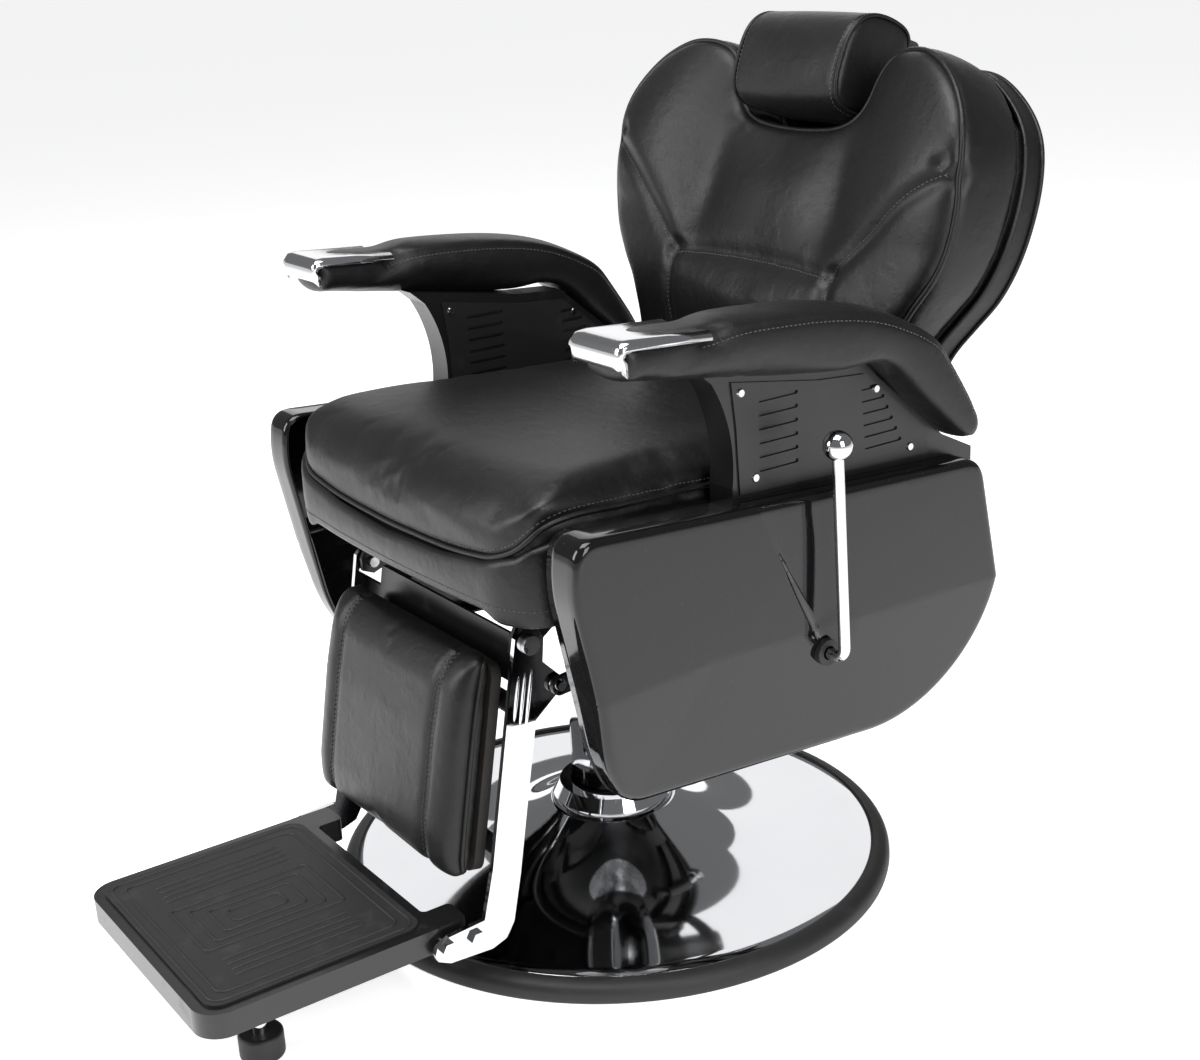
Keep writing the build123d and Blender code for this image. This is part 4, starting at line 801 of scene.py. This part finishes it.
for name, side in (("left", 1), ("right", -1)):
    low, high = (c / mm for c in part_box(f"arm_pad_{name}"))
    middle = (low.x + high.x) / 2
    ring = evenSteps(smoothLine(arm["top"] + arm["under"], True, 10), 5.0, True)
    inRing = ring * 0.985 + ring.mean(0) * 0.015
    pad = reliefSolid(
        f"armPad.{name}", inRing, 8, (1.0, 3, 6, 10, 15), armSide, lambda p, depth: -armSide(p, depth),
        lambda p, h, m=middle: ((m + h) * mm, p[0] * mm, p[1] * mm), 9, arm["crown"] * 0.5, blackVinyl,
        bodyOf[f"arm_pad_{name}"])
    settlePad(pad, 0.0045, arm["cap"] * mm, arm["pressure"], 0.002)
    pad.data.materials.append(blackVinyl)
    coords = coordsOf(pad)
    coords[:, 0] = np.clip(coords[:, 0], (low.x + 0.4) * mm, (high.x - 0.4) * mm)
    setCoords(pad, coords)
    skin = skinOf(pad)
    for edge, x in (("outer", middle + side * 40), ("inner", middle - side * 40)):
        line = [(x * mm, y * mm, (z - 7) * mm) for y, z in arm["top"][2:-2]]
        path = relaxLine(ontoSkin(skin, evenSteps(smoothLine(line), 0.005, False), 0.0), 10)
        pressSeam(pad, path, 0.0016, 0.004)
        padSkin = skinOf(pad)
        path = ontoSkin(padSkin, path, 0.0)
        addStitches(f"armStitches.{edge}.{name}", path, padSkin, 0.0035, bodyOf[f"arm_pad_{name}"])
    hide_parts(f"arm_pad_{name}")

    capLow, capHigh = (c / mm for c in capBox[name])
    capX = capHigh.x - capLow.x
    section = [(capHigh.y, 701.2), (-140, 704.0), (-182, 707.0), (-192, 705.5), (capLow.y + 1.2, 700),
               (capLow.y, 694),
               (capLow.y + 0.4, 682), (capLow.y + 3.0, 680.2), (capLow.y + 3.6, 682.5), (capLow.y + 3.2, 694),
               (capLow.y + 4.6, 698.4), (-190, 702.6), (-182, 704.0), (-140, 701.2), (capHigh.y, 698.6)]
    rows = []
    steps = np.concatenate([[0, 1.2, 3, 5.5], np.linspace(9, capX - 9, 12),
                            [capX - 5.5, capX - 3, capX - 1.2, capX]])
    for s in steps:
        gap = min(s, capX - s)
        drop = 6.5 * (1 - math.sqrt(max(0.0, 1 - (1 - min(gap, 8) / 8) ** 2)))
        vee = 13 * max(0.0, 1 - abs(s / capX - 0.5) * 2) - 6
        rows.append([((capLow.x + s) * mm,
                      (y + (drop * 0.8 if z < 698 else 0) - (vee if y == capHigh.y else 0)) * mm,
                      (z - drop) * mm + 0.0022) for y, z in section])
    count = len(section)
    faces = []
    for i in range(len(rows) - 1):
        for k in range(count):
            n = (k + 1) % count
            faces.append([i * count + k, (i + 1) * count + k, (i + 1) * count + n, i * count + n])
    faces += [list(range(count)), [(len(rows) - 1) * count + k for k in reversed(range(count))]]
    cap = addPiece(f"armCap.{name}", [v for row in rows for v in row], faces, polishedCap,
                   bodyOf[f"arm_cap_{name}"])
    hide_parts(f"arm_cap_{name}")
print("arm pads sewn")


# back: leaning frame, u across, v up the lean, w towards the sitter

lean = {"y": 255, "z": 455, "angle": 20}
leanSin, leanCos = math.sin(math.radians(lean["angle"])), math.cos(math.radians(lean["angle"]))


def backPlace(p, w):
    u, v = p
    return (u * mm, (lean["y"] + v * leanSin - w * leanCos) * mm,
            (lean["z"] + v * leanCos + w * leanSin) * mm)


backForward = Vector((0, leanCos, -leanSin))
back = {"half": [(212, 62), (224, 74), (229, 110), (240, 148), (262, 182), (284, 215), (297, 255), (301, 300),
                 (297, 346), (282, 388), (249, 428), (203, 454), (160, 457), (130, 446), (113, 422),
                 (103, 396),
                 (82, 376), (46, 369)],
        "across": 24, "down": 13, "spacing": 9.5, "cap": 5, "pressure": 4.0}
heart = back["half"] + [(0, 367)] + mirrored(reversed(back["half"]))
heartRing = evenSteps(smoothLine(heart, True, 10), 6.5, True)


def backFace(u, v):
    # the height of the seamed edge, taken right across the pad
    across = np.interp(np.abs(u), [0, 110, 200, 302], [88, 93, 111, 124])
    level = np.interp(v, [60, 95, 140, 175, 240, 330, 400, 480], [50, 66, 84, 94, 101, 119, 127, 128])
    return np.minimum(across, level)


def backFilling(u, v):
    lumbar = 12 * np.exp(-((v - 150) / 48) ** 2) * np.exp(-(u / 150) ** 2)
    wings = 5 * np.exp(-((np.abs(u) - 225) / 50) ** 2) * np.exp(-((v - 330) / 90) ** 2)
    valley = 9 * np.exp(-((np.abs(u) - 118 + 0.1 * (v - 200)) / 34) ** 2) * np.clip((v - 205) / 60, 0, 1)
    middle = 9 * np.exp(-(u / 80) ** 2) * np.exp(-((v - 285) / 60) ** 2)
    return lumbar + wings - valley + middle


def backFront(p, depth):
    u, v = p[:, 0], p[:, 1]
    swell = 1 - np.exp(-(depth / 45) ** 1.5)
    return backFace(u, v) + swell * (7 + backFilling(u, v)) - roundedEdge(depth, back["across"], back["down"])


backCushion = reliefSolid(
    "backCushion", heartRing, back["spacing"], (1.2, 3.5, 7, 12, 19, 28, 38), backFront,
    lambda p, depth: np.full(len(p), 18.6) + roundedEdge(depth, 8, 4), backPlace, 9, 3.0, blackVinyl,
    "back")
settlePad(backCushion, 0.0055, back["cap"] * mm, back["pressure"], 0.003)
backCushion.data.materials.append(blackVinyl)


def leaning(coords):
    y, z = coords[:, 1] / mm - lean["y"], coords[:, 2] / mm - lean["z"]
    return np.column_stack([coords[:, 0] / mm, y * leanSin + z * leanCos, -y * leanCos + z * leanSin])


def standing(local):
    return np.array([backPlace((u, v), w) for u, v, w in local])


local = leaning(coordsOf(backCushion))
local[:, 2] = np.maximum(local[:, 2], 18.5)
setCoords(backCushion, standing(local))
backSkin = skinOf(backCushion)
seamEnd = (137, 199)
sideSeam = [(296, 322), (268, 310), (232, 286), (196, 252), (163, 222), seamEnd]
lowSeam = [seamEnd, (138, 170), (139, 130), (138, 95)]
lumbarSeam = [(-137, 199), (-90, 203), (-45, 205), (0, 205.5), (45, 205), (90, 203), seamEnd]


def backSeam(points, lift=0.0):
    fine = evenSteps(smoothLine(points), 4.0, False)
    return ontoSkin(backSkin, [backPlace(p, 200) for p in fine], lift, backForward)


seams = {"lumbar": lumbarSeam, "sideLeft": sideSeam, "sideRight": mirrored(sideSeam),
         "lowLeft": lowSeam, "lowRight": mirrored(lowSeam)}
seamPaths = {}
for name, line in seams.items():
    seamPaths[name] = backSeam(line)
    pressSeam(backCushion, seamPaths[name], 0.0042, 0.011)
    pressSeam(backCushion, seamPaths[name], 0.0018, 0.0035)
edgeRing = ringNormals(heartRing) * -2.5 + heartRing
edgeRing = relaxLine(edgeRing, 3, True)
edgeWidth = backFace(edgeRing[:, 0], edgeRing[:, 1]) - back["down"] * 0.55
edgePath = np.array([backPlace(p, w) for p, w in zip(edgeRing, edgeWidth)])
edgePath = relaxLine(ontoSkin(backSkin, edgePath, 0.0), 8, True)
pressSeam(backCushion, edgePath, 0.0026, 0.007)
backSkin = skinOf(backCushion)
edgePath = relaxLine(ontoSkin(backSkin, edgePath, 0.0016), 3, True)
addTube("backPiping", edgePath, 0.0031, pipingVinyl, "back", closed=True)
for name, path in seamPaths.items():
    path = relaxLine(ontoSkin(backSkin, path, 0.0), 3)
    addStitches(f"backStitches.{name}", path, backSkin, 0.0042, "back")
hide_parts("back_cushion")

cover = {"rear": -23.6, "front": 17.9, "wall": 3.6, "lip": 387}
coverHalf = [(u - 5 if u > 110 else u + 4, v - (5 if v > 420 else 0)) for u, v in back["half"][:-2]]
coverHalf += [(82, cover["lip"] + 2), (46, cover["lip"])]
coverLine = coverHalf + [(0, cover["lip"])] + mirrored(reversed(coverHalf))
coverRing = evenSteps(smoothLine(coverLine, True, 10), 7.0, True)
points, tris, border = fillRing(coverRing, 12, (1.0, 3, 6.5, 11, 17))
depth = np.maximum(ringDistance(points, coverRing), 0)
depth[border] = 0
rearSkin = cover["rear"] + roundedEdge(depth, 18, 16)
verts = [backPlace(p, w) for p, w in zip(points, rearSkin)]
faces = [list(t) for t in tris]
row = border
for share in (0.25, 0.5, 0.75, 1.0):
    new = []
    for j, i in enumerate(border):
        new.append(len(verts))
        verts.append(backPlace(coverRing[j], rearSkin[i] * (1 - share) + cover["front"] * share))
    for j in range(len(border)):
        k = (j + 1) % len(border)
        faces.append([row[j], row[k], new[k], new[j]])
    row = new
rearCover = addPiece("backRearCover", verts, faces, blackVinyl, "back")
middleOut = sum((Vector(v) for v in verts), Vector()) / len(verts)
facing = sum((p.center - middleOut).dot(p.normal) for p in rearCover.data.polygons)
if facing < 0:
    rearCover.data.flip_normals()
thick = rearCover.modifiers.new("shell", "SOLIDIFY")
thick.thickness = cover["wall"] * mm
thick.offset = -1
freeze(rearCover)
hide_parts("back_rear_cover")
coverSkin = skinOf(rearCover)
coverLine = [backPlace(p, cover["rear"] - 30) for p in ringNormals(coverRing) * -24 + coverRing]
coverLine = relaxLine(ontoSkin(coverSkin, coverLine, 0.0004), 4, True)
addStitches("coverStitches", coverLine, coverSkin, 0.0, "back")
addTube("coverPiping", relaxLine(np.array([backPlace(p, cover["rear"] + 14) for p in
                                           coverRing + ringNormals(coverRing) * 0.6]), 2, True),
        0.0026, pipingVinyl, "back", closed=True)
print("back sewn")


# headrest

headrest = {"profile": [(379, 24), (376, 60), (376, 90), (382, 109), (399, 121), (434, 123), (464, 118),
                        (483, 104),
                        (492, 82), (492, 50), (482, 25), (450, 19), (415, 19)],
            "half": 91.4, "across": 9, "down": 7, "cap": 3, "pressure": 4.0}
headRing = evenSteps(smoothLine(headrest["profile"], True, 10), 5.0, True)
headCushion = reliefSolid(
    "headrestCushion", headRing, 8, (1.0, 2.5, 5, 9),
    lambda p, depth: headrest["half"] - roundedEdge(depth, headrest["across"], headrest["down"]),
    lambda p, depth: roundedEdge(depth, headrest["across"], headrest["down"]) - headrest["half"],
    lambda p, h: backPlace((h, p[0]), p[1]), 16, 1.2, blackVinyl, "headrest")
settlePad(headCushion, 0.0045, headrest["cap"] * mm, headrest["pressure"], 0.002)
headCushion.data.materials.append(blackVinyl)
local = leaning(coordsOf(headCushion))
local[:, 2] = np.maximum(local[:, 2], 18.3)
setCoords(headCushion, standing(local))
headSkin = skinOf(headCushion)
for name, side in (("left", 1), ("right", -1)):
    line = [backPlace((side * (headrest["half"] - 2.2), v), w) for v, w in headRing]
    path = relaxLine(ontoSkin(headSkin, line, 0.0), 4, True)
    pressSeam(headCushion, path, 0.0014, 0.004)
    addTube(f"headrestPiping.{name}", relaxLine(ontoSkin(headSkin, path, 0.0008), 3, True), 0.0024,
            pipingVinyl, "headrest", closed=True)
    inner = [backPlace((side * (headrest["half"] - 11), v), w) for v, w in headRing if w > 30]
    start = max(range(len(inner)), key=lambda i: (Vector(inner[i]) - Vector(inner[i - 1])).length)
    inner = inner[start:] + inner[:start]
    addStitches(f"headrestStitches.{name}", ontoSkin(headSkin, inner, 0.0), headSkin, 0.0, "headrest")
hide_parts("headrest_cushion")
print("headrest sewn")


# leg rest pad: s down the rails, n towards the front

leg = {"y": -208, "z": 378, "angle": 10.6, "half": 149.4, "top": 14, "bottom": 261.5, "rear": 22.4,
       "crown": 62,
       "across": 34, "down": 25, "cap": 4, "pressure": 4.0}
legSin, legCos = math.sin(math.radians(leg["angle"])), math.cos(math.radians(leg["angle"]))


def legPlace(p, n):
    x, s = p[0], -p[1]
    return (x * mm, (leg["y"] - s * legSin - n * legCos) * mm, (leg["z"] - s * legCos + n * legSin) * mm)


legForward = Vector((0, legCos, -legSin))
legRing = evenSteps(roundCorners([(leg["half"], -leg["top"]), (-leg["half"], -leg["top"]),
                                  (-leg["half"], -leg["bottom"]), (leg["half"], -leg["bottom"])],
                                 [16, 16, 14, 14]), 5.5, True)


def legFront(p, depth):
    s = -p[:, 1]
    crown = np.interp(s, [14, 60, 110, 215, 262], [leg["crown"] - 8, leg["crown"] - 1, leg["crown"] + 2,
                                                   leg["crown"] + 2, leg["crown"] - 5])
    ends = (roundedEdge(np.maximum(s - leg["top"], 0), 48, 34)
            + roundedEdge(np.maximum(leg["bottom"] - s, 0), 24, 20))
    sides = roundedEdge(np.maximum(leg["half"] - np.abs(p[:, 0]), 0), leg["across"], leg["down"])
    return crown - np.maximum(ends, sides) - 0.25 * np.minimum(ends, sides)


legPad = reliefSolid(
    "legPad", legRing, 8, (1.0, 3, 6, 11, 18), legFront,
    lambda p, depth: leg["rear"] + roundedEdge(depth, 6, 4), legPlace, 6, 1.0, blackVinyl, "leg_rest")
settlePad(legPad, 0.0045, leg["cap"] * mm, leg["pressure"], 0.0025)
legPad.data.materials.append(blackVinyl)
coords = coordsOf(legPad)
coords[:, 0] = np.clip(coords[:, 0], -(leg["half"] + 1.5) * mm, (leg["half"] + 1.5) * mm)
setCoords(legPad, coords)
legSkin = skinOf(legPad)
for name, side in (("left", 1), ("right", -1)):
    line = [legPlace((side * 103, -s), 150) for s in np.linspace(22, 255, 60)]
    path = relaxLine(ontoSkin(legSkin, line, 0.0, legForward), 3)
    pressSeam(legPad, path, 0.0035, 0.0075)
    pressSeam(legPad, path, 0.0015, 0.003)
    newSkin = skinOf(legPad)
    path = relaxLine(ontoSkin(newSkin, path, 0.0), 2)
    for row, offset in (("a", 0.004), ("b", -0.004)):
        addStitches(f"legStitches.{row}.{name}", path, newSkin, offset, "leg_rest")
    sideLine = [legPlace((side * leg["half"], -s), n) for s, n in
                [(16, 26), (20, 31), (34, 35), (60, 37), (110, 39), (215, 39), (246, 38), (258, 34)]]
    path = relaxLine(ontoSkin(newSkin, evenSteps(smoothLine(sideLine), 0.005, False), 0.0), 6)
    pressSeam(legPad, path, 0.0016, 0.005)
    addTube(f"legPiping.{name}", ontoSkin(skinOf(legPad), path, 0.0012), 0.0026, pipingVinyl, "leg_rest")
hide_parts("leg_pad")
print("leg pad sewn")


# ribs pressed into the leg rest rails

rib = {"count": 3, "pitch": 7.5, "start": 24, "end": 92, "wide": 2.2, "high": 1.6}
for name, side in (("left", 1), ("right", -1)):
    verts, faces = [], []
    for r in range(rib["count"]):
        n0 = (r - 1) * rib["pitch"] + 1
        base = len(verts)
        steps = np.linspace(rib["start"] + 4 * r, rib["end"] - 5 * r, 16)
        for i, s in enumerate(steps):
            swell = math.sin(math.pi * min(1, max(0.0, i / 15))) ** 0.35
            for a in np.linspace(0, math.pi, 7):
                n = n0 + rib["wide"] * swell * math.cos(a)
                x = side * (170 - 0.3 + rib["high"] * swell * math.sin(a))
                verts.append(legPlace((x, -s), n))
        for i in range(15):
            for k in range(6):
                at, after = base + i * 7 + k, base + (i + 1) * 7 + k
                faces.append([at, at + 1, after + 1, after])
    addPiece(f"railRibs.{name}", verts, faces, chrome, "leg_rest")
print("rails ribbed")


# raised lines on the footplate's mat

mat = {"high": 1.5, "wide": 3.2}
matLow, matHigh = (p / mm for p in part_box("foot_mat"))
matTop = matHigh.z - 0.15


def ridge(verts, faces, line, closed):
    pts = evenSteps(line, 3.0, closed)
    ahead = np.roll(pts, -1, axis=0) - np.roll(pts, 1, axis=0)
    if not closed:
        ahead[0], ahead[-1] = pts[1] - pts[0], pts[-1] - pts[-2]
    ahead /= np.linalg.norm(ahead, axis=1)[:, None]
    base, count = len(verts), len(pts)
    for i, (p, a) in enumerate(zip(pts, ahead)):
        ending = 1.0 if closed else min(1.0, 0.25 + min(i, count - 1 - i) / 2)
        for o, h in ((-0.5, 0.0), (-0.38, 0.75), (-0.15, 1.0), (0.15, 1.0), (0.38, 0.75), (0.5, 0.0)):
            verts.append(((p[0] - a[1] * o * mat["wide"]) * mm, (p[1] + a[0] * o * mat["wide"]) * mm,
                          (matTop + mat["high"] * h * ending) * mm))
    for i in range(count if closed else count - 1):
        j = (i + 1) % count
        for k in range(5):
            faces.append([base + i * 6 + k, base + i * 6 + k + 1, base + j * 6 + k + 1, base + j * 6 + k])


verts, faces = [], []
middleY = (matLow.y + matHigh.y) / 2
for half, deep, corner in ((138, 111, 16), (126, 99, 12)):
    ridge(verts, faces, roundCorners([(half, middleY - deep), (half, middleY + deep), (-half, middleY + deep),
                                      (-half, middleY - deep)], [corner] * 4), True)
for side in (1, -1):
    for k in range(4):
        x = side * (104 - 11 * k)
        ridge(verts, faces, [(x, middleY - 72), (x, middleY + 72)], False)
for half, deep in ((48, 78), (36, 62), (24, 46), (12, 30)):
    ridge(verts, faces, roundCorners([(half, middleY - deep), (half, middleY + deep), (-half, middleY + deep),
                                      (-half, middleY - deep)], [4] * 4), True)
addPiece("matRidges", verts, faces, moulded, "footplate")
print("mat ribbed")


# softened edges on the metal and moulded pieces that show

edges = {"arm_frame_left": 2.2, "arm_frame_right": 2.2, "foot_tray": 2.5, "leg_rails": 0.9, "foot_mat": 0.8,
         "foot_knob_left": 2.5, "foot_knob_right": 2.5, "vent_plates_left": 0.5, "vent_plates_right": 0.5,
         "pedal_arm": 1.2, "pedal_pad": 2.0, "footplate_bolts": 0.8, "hub_bolts": 0.8, "frame_rails": 1.0,
         "frame_cross_tubes": 1.0}
for nodeName, radius in edges.items():
    bevel = nodes[nodeName].modifiers.new("edge", "BEVEL")
    bevel.width = radius * mm
    bevel.segments = 3
    bevel.limit_method = "ANGLE"
    bevel.angle_limit = math.radians(40)
    bevel.harden_normals = True


# side panels: faceted mouldings with a rounded rim

panel = {"outer": 320, "depth": 48, "tilt": 0.161, "across": 9, "down": 8, "wall": 3.5,
         "apex": (-85, 374), "rearEnd": (304.5, 362), "frontEnd": (-234, 365), "lowEnd": (-182, 242),
         "grooveTop": (-31, 514), "grooveLow": (55, 350), "grooveDepth": 6, "grooveWide": 46}


def arcThrough(a, b, c, count):
    # points on the round arc from a through b to c
    (ax, ay), (bx, by), (cx, cy) = a, b, c
    d = 2 * (ax * (by - cy) + bx * (cy - ay) + cx * (ay - by))
    aa, bb, cc = ax * ax + ay * ay, bx * bx + by * by, cx * cx + cy * cy
    x = (aa * (by - cy) + bb * (cy - ay) + cc * (ay - by)) / d
    y = (aa * (cx - bx) + bb * (ax - cx) + cc * (bx - ax)) / d
    first, last = math.atan2(ay - y, ax - x), math.atan2(cy - y, cx - x)
    if last < first:
        last += math.tau
    r = math.hypot(ax - x, ay - y)
    return [(x + r * math.cos(t), y + r * math.sin(t)) for t in np.linspace(first, last, count)]


lowArc = arcThrough((140, 218), (262, 268), (305, 362), 24)
panelCorners = [(276, 502), (-31, 518), (-242, 532), (-249, 480), (-212, 285), (-186, 240)] + lowArc
panelRing = evenSteps(roundCorners(panelCorners, [26, 30, 24, 24, 30, 24] + [0] * 24), 3.0, True)


def belowLine(y, z, a, b):
    return a[1] + (b[1] - a[1]) * (y - a[0]) / (b[0] - a[0]) - z


def panelFace(p, depth):
    y, z = p[:, 0], p[:, 1]
    apex, lowEnd = panel["apex"], panel["lowEnd"]
    lower = panel["tilt"] * np.maximum(belowLine(y, z, apex, panel["rearEnd"]), 0)
    share = panel["tilt"] * (belowLine(*lowEnd, apex, panel["rearEnd"])
                             / belowLine(*lowEnd, apex, panel["frontEnd"]))
    nose = share * np.maximum(belowLine(y, z, apex, panel["frontEnd"]), 0)
    ahead = (y - apex[0]) * (lowEnd[1] - apex[1]) - (z - apex[1]) * (lowEnd[0] - apex[0]) > 0
    drop = np.where(ahead & (y < apex[0]), nose, lower)
    top, low = np.array(panel["grooveTop"], float), np.array(panel["grooveLow"], float)
    run = low - top
    t = ((y - top[0]) * run[0] + (z - top[1]) * run[1]) / (run @ run)
    gap = -((y - top[0]) * run[1] - (z - top[1]) * run[0]) / np.linalg.norm(run)
    across = np.interp(gap, [-5, 0, panel["grooveWide"]], [0, 1, 0])
    groove = panel["grooveDepth"] * across * np.interp(t, [0, 0.85, 1.0, 1.08], [0, 1, 0.4, 0])
    return panel["outer"] - drop - groove - roundedEdge(depth, panel["across"], panel["down"])


grooveEdge = np.array(panel["grooveTop"]) - (4.5, 2.2), np.array(panel["grooveLow"]) - (4.5, 2.2)
panelCreases = [(panel["apex"], panel[end]) for end in ("rearEnd", "frontEnd", "lowEnd")]
panelCreases += [(panel["grooveTop"], panel["grooveLow"]), grooveEdge]


for name, side in (("left", 1), ("right", -1)):
    points, tris, border = fillRing(panelRing, 5.0, (0.6, 1.6, 3.2, 5.5, 8.5), panelCreases)
    depth = np.maximum(ringDistance(points, panelRing), 0)
    depth[border] = 0
    face = panelFace(points, depth)
    back0 = panel["outer"] - panel["depth"] + 0.3
    verts = [(side * h * mm, p[0] * mm, p[1] * mm) for p, h in zip(points, face)]
    faces = [list(t) for t in tris]
    row = border
    for share in (0.2, 0.45, 0.7, 1.0):
        new = []
        for j, i in enumerate(border):
            new.append(len(verts))
            verts.append((side * (face[i] * (1 - share) + back0 * share) * mm, panelRing[j][0] * mm,
                          panelRing[j][1] * mm))
        for j in range(len(border)):
            k = (j + 1) % len(border)
            faces.append([row[j], row[k], new[k], new[j]])
        row = new
    shell = addPiece(f"sidePanel.{name}", verts, faces, glossPanel, bodyOf[f"side_panel_{name}"])
    if shell.data.polygons[0].normal.x * side < 0:
        shell.data.flip_normals()
    thick = shell.modifiers.new("shell", "SOLIDIFY")
    thick.thickness = panel["wall"] * mm
    thick.offset = -1
    freeze(shell)
    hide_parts(f"side_panel_{name}")
print("side panels moulded")


# pale floor and soft studio light

floorMesh = bpy.data.meshes.new("studioFloor")
floorMesh.from_pydata([(x, y, -0.0005) for x, y in ((-400, -400), (400, -400), (400, 400), (-400, 400))],
                       [], [(0, 1, 2, 3)])
floor = bpy.data.objects.new("studioFloor", floorMesh)
bpy.context.scene.collection.objects.link(floor)
floorFinish = Finish("studioFloor", Emission_Color=(1, 1, 1, 1), Emission_Strength=0.7)
speckle = floorFinish.noise(3.0, 3.0)
floor.data.materials.append(floorFinish.shine(
    Base_Color=floorFinish.blendColours(speckle, (0.9, 0.9, 0.9, 1), (0.93, 0.93, 0.93, 1)),
    Roughness=0.55 + 0.1 * speckle))

world = bpy.data.worlds.new("studio")
world.use_nodes = True
world.node_tree.nodes["Background"].inputs[0].default_value = (0.93, 0.94, 0.96, 1)
world.node_tree.nodes["Background"].inputs[1].default_value = 0.22
bpy.context.scene.world = world
bpy.context.scene.view_settings.view_transform = "Standard"

lamps = {"top": {"at": (0.3, -0.6, 3.2), "size": (2.6, 1.6), "power": 120, "aim": (0, 0, 0.4)},
         "frontLeft": {"at": (-1.4, -3.0, 1.9), "size": (1.3, 2.0), "power": 85, "aim": (0, -0.1, 0.55)},
         "rightSide": {"at": (3.0, -0.2, 1.7), "size": (1.2, 1.8), "power": 60, "aim": (0, 0, 0.55)},
         "rear": {"at": (-3.0, 2.2, 2.2), "size": (3.6, 2.0), "power": 26, "aim": (0, 0, 0.5)}}
for name, lamp in lamps.items():
    light = bpy.data.lights.new(name, "AREA")
    light.shape = "RECTANGLE"
    light.size, light.size_y = lamp["size"]
    light.energy = lamp["power"]
    holder = bpy.data.objects.new(name, light)
    holder.location = lamp["at"]
    holder.rotation_mode = "QUATERNION"
    holder.rotation_quaternion = (Vector(lamp["aim"]) - Vector(lamp["at"])).to_track_quat("-Z", "Y")
    bpy.context.scene.collection.objects.link(holder)
print("floor and lamps set")
